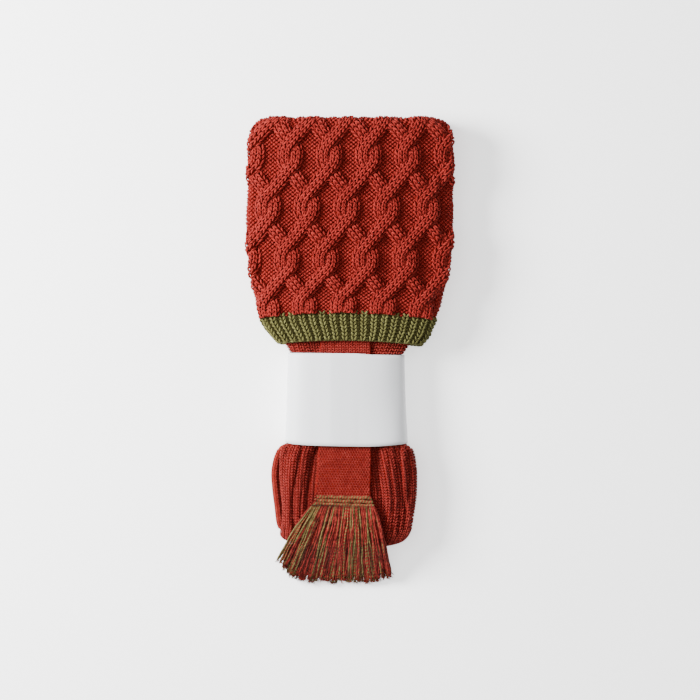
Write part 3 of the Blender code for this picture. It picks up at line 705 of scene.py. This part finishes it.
def cuff_ring(sock, y, inset, crowding=None):
    """One ring of a cuff at y, with a point for each stitch in CUFF_US."""
    if crowding is None:
        crowding = CROWDING_HEM + (CROWDING_TOP - CROWDING_HEM) * float(smooth_step(15, 75, y))
    turn = CUFF_US / STITCHES
    lean = TWIST * (y - TWIST_FROM_Y) / ROUND_CUFF
    shares = turn + crowding * np.sin(tau * turn) / (tau) + lean * np.cos(pi * turn) ** 2
    side, lift = from_table(CUFF_OUTLINE, y), from_table(sock.lift, y)

    def box(inwards):
        return Box(
            side.left + sock.shift[0] + SIDE_RELIEF + inwards,
            side.right + sock.shift[0] - SIDE_RELIEF - inwards,
            lift.low + inwards,
            lift.middle,
            lift.high - inwards,
        )

    angles = angles_at(shares, lambda a: section_points(a, box(0.0), sock.top, PRESSED))
    xz = section_points(angles, box(inset), sock.top, PRESSED)
    return np.stack([xz[:, 0], y + sock.shift[1] + hem_bow(xz[:, 0], y), xz[:, 1]], axis=1)


def cuff_surface(sock, vs):
    rings = [cuff_ring(sock, float(y), float(inset)) for y, inset in zip(*cuff_path(vs))]
    return Surface(CUFF_US, vs, np.array(rings), creases=CUFF_CREASES if sock is UPPER else ())


def lining_points(sock, us, vs, crowding=None):
    """The flat inner side of a cuff's cloth."""
    rings = [cuff_ring(sock, float(y), WALL, crowding) for y in vs]
    return Surface(CUFF_US, vs, np.array(rings)).at(us, vs[:, None])[0]


def shown_share(sock, normals):
    """How far the knitting stands out, by the way the surface faces: it is pressed flat between the socks."""
    share = smooth_step(-0.7, 0.4, normals[..., 2])
    if sock.top is PRESSED:
        share = share * smooth_step(0.8, 0.3, normals[..., 2])
    return share


def shown_at(sock, surface, u, v):
    return shown_share(sock, surface.at(u, v)[1])


def relief_share(normals):
    """The cables' share of their full height: they are flattened where the cloth turns under."""
    return 0.04 + 0.96 * smooth_step(0.12, 0.92, normals[..., 2])


def cuff_ground(sock, surface):
    """The cuff's closed body: low cables outside, the turned-in edge over the fold, and a lining."""
    us = np.arange(-HALF_ROUND, HALF_ROUND, 0.5 if sock is UPPER else 1.0)
    v = surface.vs[:, None]
    _, normals = surface.at(us, v)
    relief = relief_share(normals)
    fade = smooth_step(ROLL_Y + 9, ROLL_Y + 3, v) * shown_share(sock, normals) * relief
    height = np.maximum(cable_height(us, v) - 0.4, 0) * fade
    outer, _ = surface.at(us, v, height - 0.6 + 0.5 * (1 - relief))
    lining = lining_points(sock, us, np.array([CUFF_HEM_Y, 38, 60, 98, ROLL_Y - 10]))
    return make_body(f"{sock.name}_cuff_cloth", np.concatenate([outer, lining[::-1]]), RED_SHADE_GROUND)


def cuff_cables(sock, surface, rows):
    """V stitches along the cables' strands, three wales to each, bent the way that the strand goes."""
    yarn = Mesh()
    along, swell, hump = CABLE_STITCH
    for cable, which, wale, side in product(range(-6, 6), (0, 1), (-1, 0, 1), (-1, 1)):
        stray = scatter((2, len(rows), 1))
        v = rows[:, None] + CUFF_ROW_MM * (-0.55 + 1.3 * along + 0.03 * stray[0])
        middle, rise, slope = strand_path(cable, which, v)
        off = wale + side * (0.05 + 0.43 * along**0.85) + 0.025 * stray[1]
        widen = np.sqrt(1 + slope**2)
        v = v - off * STITCH_MM * slope / widen * 0.85
        u = middle + off / widen * (1 + 0.15 * (widen - 1))
        _, normals = surface.at(u, v)
        share = shown_share(sock, normals)
        pressed = share * relief_share(normals)
        wobble = 1 + 0.07 * scatter((len(rows), 1))
        height = rise * rope(off * 0.96) + 0.1
        w = height * pressed + hump * wobble * pressed - (1 - share) * SUNK
        path, normals = surface.at(u, v, w)
        keep = (middle[:, 2] >= -HALF_ROUND) & (middle[:, 2] < HALF_ROUND) & (share[:, 2] > LEAST_SHOWN)
        yarn.tubes(path[keep], normals[keep], (CABLE_YARN * swell * wobble)[keep], sides=5)
    return yarn.make(f"{sock.name}_cuff_cables", RED_WOOL)


def cuff_purl(sock, surface, rows):
    """Purl rows between the cables, each a wavy yarn from one strand to the next."""
    yarn = Mesh()
    for row in rows:
        edges = []
        for cable, which in product(range(-7, 8), (0, 1)):
            middle, _, slope = strand_path(cable, which, row)
            edges.append((float(middle), float(np.sqrt(1 + slope**2))))
        edges.sort()
        for (left, wide_left), (right, wide_right) in zip(edges, edges[1:]):
            first, last = left + 1.2 * wide_left, right - 1.2 * wide_right
            if last - first < 0.5 or left < -HALF_ROUND - 0.5 or left >= HALF_ROUND - 0.5:
                continue
            u = np.linspace(first, last, max(6, int((last - first) * 8)))
            phase = tau * (u - 0.5)
            v = row + CUFF_ROW_MM * 0.31 * np.cos(phase) + 0.09 * scatter(len(u))
            w = -0.15 + 0.65 * np.cos(2 * phase) + 0.09 * scatter(len(u))
            inside = np.clip(u, CUFF_US[0] + 0.1, CUFF_US[-1] - 0.1)
            share = shown_at(sock, surface, inside, v)
            if share.max() < LEAST_SHOWN:
                continue
            path, normals = surface.at(inside, v, w * share - (1 - share) * SUNK)
            yarn.tubes(path, normals, PURL_YARN + 0.14 * np.cos(2 * phase), length=len(u) * 0.4)
    return yarn.make(f"{sock.name}_cuff_purl", RED_WOOL)


def make_cuff(sock):
    vs = np.concatenate([np.arange(CUFF_HEM_Y, ROLL_Y, 1.4), ROLL_Y + np.linspace(0, pi * WALL + 9, 22)])
    surface = cuff_surface(sock, vs)
    rows = np.arange(CUFF_HEM_Y + 0.6, ROLL_Y + pi * WALL * 0.8, CUFF_ROW_MM)
    ground = cuff_ground(sock, surface)
    stitches = [cuff_cables(sock, surface, rows), cuff_purl(sock, surface, rows)]
    as_cloth(ground, f"{sock.name}_cuff", stitches)


# ==== the olive hems ===============================================================================
BAND_ROLL = WALL / 2
ROLLED_Y, BAND_TOP_Y = BAND_HEM_Y + 0.2 + BAND_ROLL, CUFF_HEM_Y + 1.4


def band_surface(sock):
    """A hem from its turned-in edge, down round the roll and up: one knit wale, one purl wale."""
    inside = np.linspace(ROLLED_Y - pi * BAND_ROLL - 4, ROLLED_Y, 12)[:-1]
    vs = np.concatenate([inside, np.linspace(ROLLED_Y, BAND_TOP_Y, 16)])
    rings = []
    for v in vs:
        turn = min(max((ROLLED_Y - v) / BAND_ROLL, 0.0), pi)
        past = max(ROLLED_Y - pi * BAND_ROLL - v, 0.0)
        y = v if v > ROLLED_Y else ROLLED_Y - BAND_ROLL * math.sin(turn) + past
        rings.append(cuff_ring(sock, y, BAND_ROLL * (1 - math.cos(turn)), BAND_CROWDING))
    return Surface(CUFF_US, vs, np.array(rings))


def band_ground(sock, surface):
    us, v = np.arange(-HALF_ROUND, HALF_ROUND, 0.5), surface.vs[:, None]
    wave = 0.5 + 0.5 * np.cos(pi * us)
    share = shown_at(sock, surface, us, v) * smooth_step(v[0] + 4, v[0] + 7, v)
    outer, _ = surface.at(us, v, (1.4 * wave - 1.5) * share)
    lining = lining_points(sock, us, np.array([12.0, BAND_TOP_Y]), BAND_CROWDING)
    return make_body(f"{sock.name}_band_cloth", np.concatenate([lining[::-1], outer]), OLIVE_SHADE_GROUND)


def band_ribs(sock, surface):
    yarn = Mesh()
    along, swell, hump = HEM_STITCH
    row_mm = 2.25
    rows = np.arange(ROLLED_Y - 0.4, BAND_TOP_Y - 1.2, row_mm)
    for knit_wale in range(-HALF_ROUND, HALF_ROUND, 2):
        for side in (-1, 1):
            v = rows[:, None] + row_mm * (-0.35 + 1.15 * along)
            u = knit_wale + side * (0.05 + 0.60 * along**0.9)
            share = shown_at(sock, surface, u, v)
            wobble = 1 + 0.08 * scatter((len(rows), 1))
            w = (0.95 - 0.6 * np.abs(u - knit_wale) + hump * wobble) * share - (1 - share) * SUNK
            path, normals = surface.at(u, v, w)
            keep = share[:, 2] > LEAST_SHOWN
            yarn.tubes(path[keep], normals[keep], (HEM_YARN * swell * wobble)[keep])
        # the purl wale between two ribs, low and in shade
        off = np.linspace(-0.3, 0.3, 6)
        for row in rows:
            u, v = knit_wale + 1 + off, row + 0.4 * np.cos(pi * off)
            share = shown_at(sock, surface, u, v)
            if share.max() > LEAST_SHOWN:
                path, normals = surface.at(u, v, -1.0 * share - (1 - share))
                yarn.tubes(path, normals, 0.5, sides=5)
    # the cast-on edge: a row of small loops round the rolled hem
    off = np.linspace(-0.7, 0.7, 6)
    for wale in range(-HALF_ROUND, HALF_ROUND):
        u, v = wale + off, ROLLED_Y - 1.7 + 0.3 * np.cos(pi * off)
        _, normals = surface.at(u, v)
        share = smooth_step(-0.9, -0.4, normals[..., 2])
        path, normals = surface.at(u, v, 0.1 * share - 0.6 * (1 - share))
        yarn.tubes(path, normals, np.array([0, 0.6, 0.8, 0.8, 0.6, 0]))
    return yarn.make(f"{sock.name}_band_ribs", OLIVE_WOOL)


def make_band(sock):
    surface = band_surface(sock)
    ground = band_ground(sock, surface)
    as_cloth(ground, f"{sock.name}_cuff_band", [band_ribs(sock, surface)])


# ==== the folded legs ==============================================================================
LEG_RIBS, LEG_ROW_MM, LEG_BACK_Z, RIM_RIB_MM = 24, 1.7, 4.0, 3.2
# the outer layer's roll, and the gap between it and the leg on top: how far in, and how far down
RIM_IN = np.array([6.2, 5.2, 4.4, 3.6, 2.9, 2.2])
RIM_DOWN = np.array([0.0, 2.4, 3.4, 2.4, 1.0, 0.5])


def tilted(x, y):
    return y - BUNDLE_TILT * x * smooth_step(TILT_FROM_Y, TILT_TO_Y, y)


def trough_at(x, depth):
    return depth * np.exp(-(((x + 3.2) / 23.0) ** 8))


def leg_section(angles, half, thick):
    """(across, up) over a leg's rounded top, from the middle of its flat side."""
    return section_points(angles, Box(-half, half, 0.0, 0.0, thick), LEG_SIDE, LEG_SIDE)


def leg_rings():
    """(y, z, turn, left, right, thick, trough) of rings along the upper leg's path."""
    ys = spaced((22, -3, 10), (-6, -56, 11), (-58, FOLD_Y + 0.8, 42))
    front = from_table(LEG_FRONT, ys)
    turns = np.linspace(0, 180, 45)
    table = np.array(LEG_TURN, float)
    turned = [np.interp(turns, table[:, 0], table[:, k]) for k in range(1, 5)]
    flat = np.stack([ys, front.z, 0 * ys, front.left, front.right, front.thick, front.trough], axis=1)
    return np.concatenate([flat, np.stack([FOLD_Y + 0 * turns, FOLD_Z + 0 * turns, turns, *turned], axis=1)])


def leg_surface():
    """The upper leg's outer side: u runs over its columns of stitches, v along its path."""
    us = np.arange(-LEG_RIBS / 2, LEG_RIBS / 2 + 0.01, 0.125)
    rings = []
    for y0, z0, turn, left, right, thick, trough in leg_rings():
        half, centre = half_and_centre(left, right)
        lengths = distances(leg_section(OVER_TOP, half, thick))
        fan = 0.3 * float(smooth_step(-60, -104, y0))
        shares = us / LEG_RIBS
        shares = shares + fan * np.sin(tau * shares) / (tau)
        across, up = leg_section(np.interp((shares + 0.5) * lengths[-1], lengths, OVER_TOP), half, thick).T
        x = centre + across
        # the right side slopes down towards the fold, and the cloth rolls round it
        fall = 4.2 * smooth_step(-57, -66, y0) * smooth_step(200, 60, turn)
        heights = up - trough_at(x, trough) - fall * smooth_step(14, 44, x) * up / thick
        heights = heights + (FOLD_RADIUS if z0 == FOLD_Z else 0)
        angle = math.radians(turn)
        y = tilted(x, y0 - math.sin(angle) * heights)
        y = y - 0.08 * np.maximum(x - 2, 0) * smooth_step(-95, -116, y)
        rings.append(np.stack([x, y, z0 + math.cos(angle) * heights], axis=1))
    points = np.array(rings)
    return Surface(us, distances(points[:, len(us) // 4]), points, flip=True, creases=LEG_CREASES)


def leg_top(x, y):
    """The upper leg's height over its stitches, on its front and its turn."""
    now = from_table(LEG_FRONT, np.maximum(y, FOLD_Y))
    half, centre = half_and_centre(now.left, now.right)
    share = np.minimum(np.abs(x - centre) / half, 1.0)
    edge = (1 - share**LEG_SQUARENESS) ** (1 / LEG_SQUARENESS)
    height = now.thick * edge - trough_at(x, now.trough) + 0.8
    beyond = FOLD_Z + np.sqrt(np.maximum((FOLD_RADIUS + height) ** 2 - (FOLD_Y - y) ** 2, 0.0))
    return np.where(y >= FOLD_Y, now.z + height, beyond)


def make_upper_leg():
    surface = leg_surface()
    us, vs = surface.us[::2], surface.vs
    outer, _ = surface.at(us, vs[:, None], 0.5 * np.cos(tau * (us - 0.5)) - 0.75)
    # the inner side is flat: a straight run back from edge to edge
    steps = np.linspace(0, 1, 8)[1:-1, None]
    front = np.concatenate([outer, outer[:, -1:] + (outer[:, :1] - outer[:, -1:]) * steps], axis=1)
    back = []
    for y, left, right, thick in LEG_BACK:
        half, centre = half_and_centre(left, right)
        across, up = leg_section(np.linspace(-pi / 2, pi / 2, len(us)), half, thick).T
        x = centre + across
        down = np.stack([x, tilted(x, y), LEG_BACK_Z - up], axis=1)
        back.append(np.concatenate([down, down[-1:] + (down[:1] - down[-1:]) * steps]))
    skin = np.concatenate([front, np.array(back)])[:, ::-1]
    ground = make_body("upper_leg_cloth", skin, RED_SHADE_GROUND, caps=True)

    def shown(points, normals):
        x, y, z = points.T
        under_paper = (y < -3.6) & (y > -54.5)
        under_garter = (np.abs(x + 3) < 14) & (y > -96) & (z > 12)
        return ~(under_paper | under_garter | (y > 12)) & (normals[:, 2] > -0.8) & (np.abs(x + 2) < 47)

    yarn = Mesh()
    ribs = np.arange(LEG_RIBS) - (LEG_RIBS - 1) / 2
    lay_ribs(yarn, surface, ribs, np.arange(vs[0] + 10, vs[-1] - 4, LEG_ROW_MM), LEG_ROW_MM, shown, 0.3)
    stitches = yarn.make("upper_leg_ribs", RED_FINE)
    as_cloth(ground, "upper_leg", [stitches])


def groove(steps):
    """How far in the edge lies between its layers, down its height."""
    return LAYER_GROOVE * np.cos(pi * LAYERS * steps) ** 2


def rim_surface(side):
    """The lower leg's layered edge: u runs down over it in stitches, v along it. side is -1 or 1."""
    ys = spaced((10, -3, 6), (-6, -56, 8), (-58.5, -114, 40))
    steps = np.linspace(0, 1, 61)
    rings = []
    for y, low, high, left, right in zip(ys, *from_table(LOWER_LEG, ys)[1:]):
        edge = left if side < 0 else right
        x = np.concatenate([edge - side * RIM_IN, edge - side * groove(steps)])
        z = np.concatenate([high - RIM_DOWN, high + (low - high) * steps - 0.6 * (1 - steps)])
        rings.append(np.stack([x, tilted(x, y), z], axis=1))
    lengths = distances(rings[-20])
    us = np.arange(0, lengths[-1], 0.4)
    even = [np.stack([np.interp(us, lengths, values) for values in ring.T], axis=1) for ring in rings]
    return Surface(us / RIM_RIB_MM, ys[0] - ys, np.array(even), flip=side > 0)


def make_lower_leg():
    """The lower sock's leg and the layers between, with stitches over its layered edges."""
    steps = np.linspace(0, 1, 10 * LAYERS + 1)
    ys = spaced((22, -4, 8), (-10, -58, 6), (-59.5, -114.6, 40))
    rings = []
    for y, low, high, left, right in zip(*from_table(LOWER_LEG, ys)):
        side_z = low + (high - 0.6 - low) * steps
        across = np.linspace(right - 8, left + 8, 8)
        roll_in, roll_z = RIM_IN + 0.3, high - RIM_DOWN - 0.5
        right_x = [right - groove(steps), right - roll_in[::-1]]
        left_x = [left + roll_in, left + groove(steps)]
        x = np.concatenate([*right_x, across, *left_x, across[::-1]])
        z = [side_z, roll_z[::-1], 0 * across + high, roll_z, side_z[::-1], 0 * across + low]
        rings.append(np.stack([x, tilted(x, y), np.concatenate(z)], axis=1))
    ground = make_body("lower_leg_cloth", np.array(rings), RED_KNIT, caps=True)

    def shown(points, normals):
        y = points[:, 1]
        return ~((y < 1.5) & (y > -62) | (y > 7)) & (points[:, 2] > 4.6)

    yarn = Mesh()
    for side in (-1, 1):
        surface = rim_surface(side)
        ribs, rows = np.arange(0.9, surface.us[-1] - 0.3), np.arange(2.0, surface.vs[-1] - 1, LEG_ROW_MM)
        lay_ribs(yarn, surface, ribs, rows, LEG_ROW_MM, shown, 0.0)
    stitches = yarn.make("lower_leg_ribs", RED_FINE)
    as_cloth(ground, "lower_leg", [stitches])


# ==== the paper band ===============================================================================
# where the paper is bent a little from one flat to the next, and how far each bend is up or down
PAPER_BENDS = table(
    "x up",
    (-41, -0.4),
    (-30, -0.3),
    (-21.5, -0.2),
    (-17, 0.1),
    (-12, 0.55),
    (-8, 0.5),
    (2, 0.2),
    (9, -0.15),
    (20, -0.95),
    (37, -2.4),
)


def paper_skin(inset):
    """Rings of the band's outer or inner side, with its bowed and slightly askew edges."""
    shares = np.linspace(-0.5, 0.5, 200, endpoint=False)
    bend_x, bend_up = np.array(PAPER_BENDS, float).T
    rings = []
    for y in np.linspace(PAPER_BAND[0].y, PAPER_BAND[-1].y, 24):
        ring = from_table(PAPER_BAND, y)
        box = Box(ring.left + inset, ring.right - inset, inset, PAPER_MIDDLE_Z, ring.high - inset)
        angles = angles_at(shares, lambda a: section_points(a, box, PAPER_TOP, PAPER_BOTTOM))
        x, z = section_points(angles, box, PAPER_TOP, PAPER_BOTTOM).T
        bend = np.interp(x, bend_x, bend_up) * smooth_step(0.05, 0.8, np.cos(angles))
        z = z + np.where(x > 5, 0.12 + 0.88 * smooth_step(-54, -22, y), 1.0) * bend
        bow = ring.bow * np.clip(np.cos(angles), 0, 1)
        near_hem = smooth_step(-40, -2, y)
        askew = 0.9 * smooth_step(8, 34, x) * (1 - near_hem) - 0.7 * smooth_step(2, 16, x) * near_hem
        rings.append(np.stack([x, tilted(x, y - bow) + askew, z], axis=1))
    return rings


def make_paper():
    skin = np.array(paper_skin(0.0) + paper_skin(PAPER_THICKNESS)[::-1])[::-1]
    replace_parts(make_body("paper_wrap", skin, PAPER), "paper_band")


# ==== the garter ===================================================================================
GARTER_WALES, GARTER_ROW_MM = 20, 1.52
RIDGE_MM, RIDGE_ROW_MM = 2.1, 1.6


def garter_surface():
    vs, us = np.linspace(0, 105.6, 90), np.linspace(0, 1, 61)
    rows = []
    for y in GARTER[0].y - vs:
        strap = from_table(GARTER, y)
        x = strap.left + (strap.right - strap.left) * us
        rows.append(np.stack([x, tilted(x, y), leg_top(x, y) + GARTER_CLEAR - 0.35], axis=1))
    return Surface(us, vs, np.array(rows))


def make_garter():
    surface = garter_surface()
    us, vs = surface.us, surface.vs
    bottom, _ = surface.at(us, vs[:, None])
    top = bottom + UP * (GARTER_THICKNESS - 0.55)
    skin = np.concatenate([bottom[:, ::-1], top], axis=1)[::-1]
    ground = make_body("garter_cloth", skin, RED_SHADE_GROUND, caps=True)

    yarn = Mesh()
    for row, v0 in enumerate(np.arange(68.5, 105.2, GARTER_ROW_MM)):
        start, end = 0.018 * RNG.random(), 1 - 0.018 * RNG.random()
        u = np.linspace(start, end, GARTER_WALES * 6 + 1)
        phase = tau * u * GARTER_WALES + pi * row + 0.3 * scatter()
        v = v0 + 0.40 * np.cos(phase) + 0.07 * scatter(len(u))
        path, _ = surface.at(u, v)
        up = GARTER_THICKNESS - 0.6 + 0.46 * np.cos(2 * phase) + 0.2 * np.cos(phase)
        up = up + 0.06 * scatter(len(u))
        yarn.tubes(path + up[:, None] * UP, UP, GARTER_YARN, sides=5, length=len(u) * 0.3)
    # the start of it, over the band, is knitted along and not across
    wide = (GARTER[0].right - GARTER[0].left) / RIDGE_MM
    ridges = Surface(us * wide, vs, bottom + UP * (GARTER_THICKNESS - 0.7))
    ridges.normals = np.broadcast_to(UP, bottom.shape)
    ribs, rows = np.arange(0.7, wide - 0.3), np.arange(3.0, 19.5, RIDGE_ROW_MM)
    lay_ribs(yarn, ridges, ribs, rows, RIDGE_ROW_MM, lambda points, _: points[:, 1] < 40, 0.3)
    stitches = yarn.make("garter_rows", RED_FINE)
    as_cloth(ground, "garter", [stitches])


# ==== the fringe ===================================================================================
CORD_YARN, STRAND_YARN, UNDER_YARN, FIBRE = 0.66, 0.45, 0.52, 0.15
STRANDS, STRAND_LAYERS, UNDER_LAYERS, CLUMPS = 540, 6, 2, 46
GOLDEN_SHARE = 0.61803
TIP_Y, LOWEST_TIP_Y, TIP_MIDDLE_X, TIP_SPREAD = -144.2, -146.4, -9.6, 34.8
STRAY_STRANDS, STRAY_TIP = (34, 89), (-46.5, -131.0)
HANG_FROM_Y, HANG_LENGTH, HANG_FROM_Z, HANG_DROP = -113.0, 30.0, 26.3, 25.2


def lay_heading(olive, red):
    """Three twisted cords, one below the other, each of an olive and a red strand."""
    width = HEADING.right - HEADING.left
    s = np.linspace(0, 1, 241)
    for cord, (yarn, start) in product(range(3), ((olive, 0.0), (red, pi))):
        x = HEADING.left + 2.6 - 1.2 * cord + (width - 4.6 + 1.9 * cord) * s
        y = HEADING.top_y - 0.5 - 2.25 * cord + 0.2 * np.sin(30 * s + 2 * cord) + 0.5 * cord * (0.5 - s)
        twist = tau * s * (19 + cord) + start + 1.3 * cord
        base = leg_top(x, y) + GARTER_CLEAR + 1.8 - 0.35 * cord
        path = np.stack([x, tilted(x, y + 0.55 * np.sin(twist)), base + 0.5 * np.cos(twist)], axis=1)
        yarn.tubes(path, UP, CORD_YARN, sides=5, length=60)


def hang(x, y, layer, wave):
    """A strand's heights: over the leg, and then falling free to the surface, in its own slight wave."""
    above = 0.2 + 0.62 * layer + wave
    drop = np.clip((HANG_FROM_Y - y) / HANG_LENGTH, 0, 1)
    free = HANG_FROM_Z + above - (HANG_DROP + 0.6 * above) * drop**1.1
    z = np.where(y > HANG_FROM_Y, leg_top(x, y) + 0.3 + above, free)
    z = np.convolve(np.pad(z, 3, mode="edge"), np.ones(7) / 7, mode="valid")
    return np.maximum(z, 0.5 + 0.1 * layer)


def lay_strands(yarns):
    """Two-ply strands in layers, gathered in clumps and frayed at their ends, over even dark ones, which are
    painted shade under the top layers.
    """
    width = HEADING.right - HEADING.left
    clump_tip = 0.7 * scatter(CLUMPS)
    clump_reach = 0.6 * scatter(CLUMPS)
    clump_wave = scatter((CLUMPS, 3))
    t = np.linspace(0, 1, 20)
    for strand in range(STRANDS):
        layer = strand % STRAND_LAYERS
        under = layer < UNDER_LAYERS
        per_round = UNDER_LAYERS if under else STRAND_LAYERS - UNDER_LAYERS
        order = per_round * (strand // STRAND_LAYERS) + layer
        share = min(max((order * GOLDEN_SHARE) % 1 + 0.006 * scatter(), 0.0), 1.0)
        clump = min(int(share * CLUMPS), CLUMPS - 1)
        gathered = share if under else 0.72 * share + 0.28 * (clump + 0.5) / CLUMPS
        side = 2 * gathered - 1
        tip_x = TIP_MIDDLE_X + TIP_SPREAD * side + (0.2 if under else clump_tip[clump])
        tip_x += (0.25 if under else 0.7) * scatter()
        shorter = 12.0 * max(0.0, -side) ** 5 + 3.2 * max(0.0, side) ** 3
        tip_y = TIP_Y + shorter + clump_reach[clump] + 0.7 * scatter()
        tip_y = max(tip_y + 2.6 * (RNG.random() < 0.15), LOWEST_TIP_Y)
        if not under and order in STRAY_STRANDS:
            tip_x, tip_y = STRAY_TIP[0], STRAY_TIP[1] - 0.01 * strand
        y = HEADING.bottom_y + 1.6 + (tip_y - HEADING.bottom_y - 1.6) * t
        wave = (0.3 if under else 1.0) * (clump_wave[clump] + 0.6 * scatter(3))
        bends = 0.5 * wave[0] * np.sin(pi * t) + 0.35 * wave[1] * np.sin(tau * t + wave[2])
        bends = bends + 0.22 * np.sin(13 * t + strand) + 0.12 * np.sin(29 * t + 2.3 * strand)
        x0 = HEADING.left + 0.3 + (width - 0.6) * share
        x = x0 + (tip_x - x0) * t ** (0.92 + 0.08 * scatter()) + bends * smooth_step(0, 0.25, t)
        z = hang(x, y, layer, 0.35 * np.sin(9 * t + strand) * smooth_step(0, 0.2, t))
        path = np.stack([x, tilted(x, y), z], axis=1)

        greenish = 0.5 if share < 0.14 or 0.5 < share < 0.74 else 0.2
        draw = RNG.random()
        # the dark yarn is painted shade: a fifth of the strands, and the under layers, lie dark among and
        # under the others
        kind = "dark" if draw > 0.8 else "red"
        if draw < greenish * 1.1:
            kind = "olive" if draw < greenish * 0.75 else "mixed"
        if layer == 0 or (layer == 1 and draw > 0.4):
            kind = "dark"
        radius = (UNDER_YARN if under else STRAND_YARN) * (1 + 0.12 * scatter())
        yarns[kind].tubes(path, UP, radius, length=48)
        fray(yarns[kind], path)


def fray(yarn, path):
    """Four loose fibres at a strand's end."""
    r = np.linspace(0, 1, 4)
    for _ in range(4):
        way = np.array([0.55 * scatter(), -1.0, 0.15 * scatter()])
        wisp = path[-2] + (path[-1] - path[-2]) * 0.5 + way * r[:, None] * (1.2 + 1.0 * RNG.random())
        wisp[:, 2] = np.maximum(wisp[:, 2], 0.3)
        yarn.tubes(wisp, UP, FIBRE, sides=3, length=3)


def make_fringe():
    materials = {"red": FRINGE_RED, "olive": FRINGE_OLIVE, "dark": FRINGE_SHADE_DARK, "mixed": FRINGE_MIXED}
    yarns = {kind: Mesh() for kind in materials}
    lay_heading(yarns["olive"], yarns["red"])
    lay_strands(yarns)
    pieces = [yarns[kind].make(f"fringe_{kind}_strands", material) for kind, material in materials.items()]
    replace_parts(pieces[0], "garter_fringe")


for sock in (UPPER, LOWER):
    make_cuff(sock)
for sock in (UPPER, LOWER):
    make_band(sock)
make_upper_leg()
make_lower_leg()
make_paper()
make_garter()
make_fringe()


# ==== stage, lights and camera =====================================================================
PIXEL_MM, PHOTO_PIXELS, SENSOR_MM = 0.62, 700, 36.0
CAMERA_OVER, SHARP_Z = 3.0, 0.022
FLOOR_HALF = 3.0


def make_stage():
    mesh = bpy.data.meshes.new("floor")
    corners = [(x * FLOOR_HALF, y * FLOOR_HALF, 0) for x, y in ((-1, -1), (1, -1), (1, 1), (-1, 1))]
    mesh.from_pydata(corners, [], [(0, 1, 2, 3)])
    floor = bpy.data.objects.new("floor", mesh)
    bpy.context.scene.collection.objects.link(floor)
    pale, white = (0.9, 0.9, 0.9, 1), (1, 1, 1, 1)
    glow = {"Emission_Color": white, "Emission_Strength": 1.15}
    mesh.materials.append(new_material("floor", Base_Color=pale, Roughness=0.9, **glow)[0])


def area_light(name, location, size, power):
    """A round lamp that shines at the middle of the scene."""
    data = bpy.data.lights.new(name, "AREA")
    data.shape, data.size, data.energy = "DISK", size, power
    lamp = bpy.data.objects.new(name, data)
    lamp.location = location
    lamp.rotation_euler = (-Vector(location)).to_track_quat("-Z", "Y").to_euler()
    bpy.context.scene.collection.objects.link(lamp)


def make_world():
    world = bpy.data.worlds.new("studio")
    world.use_nodes = True
    set_inputs(world.node_tree.nodes["Background"], Color=(1, 1, 1, 1), Strength=0.47)
    bpy.context.scene.world = world


def make_camera():
    """Straight above, with the photograph's scale at the height of the cuff's cables."""
    data = bpy.data.cameras.new("camera")
    data.sensor_width = SENSOR_MM
    data.lens = SENSOR_MM * CAMERA_OVER / MM / (PHOTO_PIXELS * PIXEL_MM)
    data.clip_end = 10
    camera = bpy.data.objects.new("camera", data)
    camera.location = (0, 0, CAMERA_OVER + SHARP_Z)
    bpy.context.scene.collection.objects.link(camera)
    bpy.context.scene.camera = camera


make_stage()
area_light("key", (-0.80, 0.24, 0.56), 0.5, 44.5)
area_light("fill", (-0.3, 0.1, 1.8), 1.4, 18)
make_world()
make_camera()
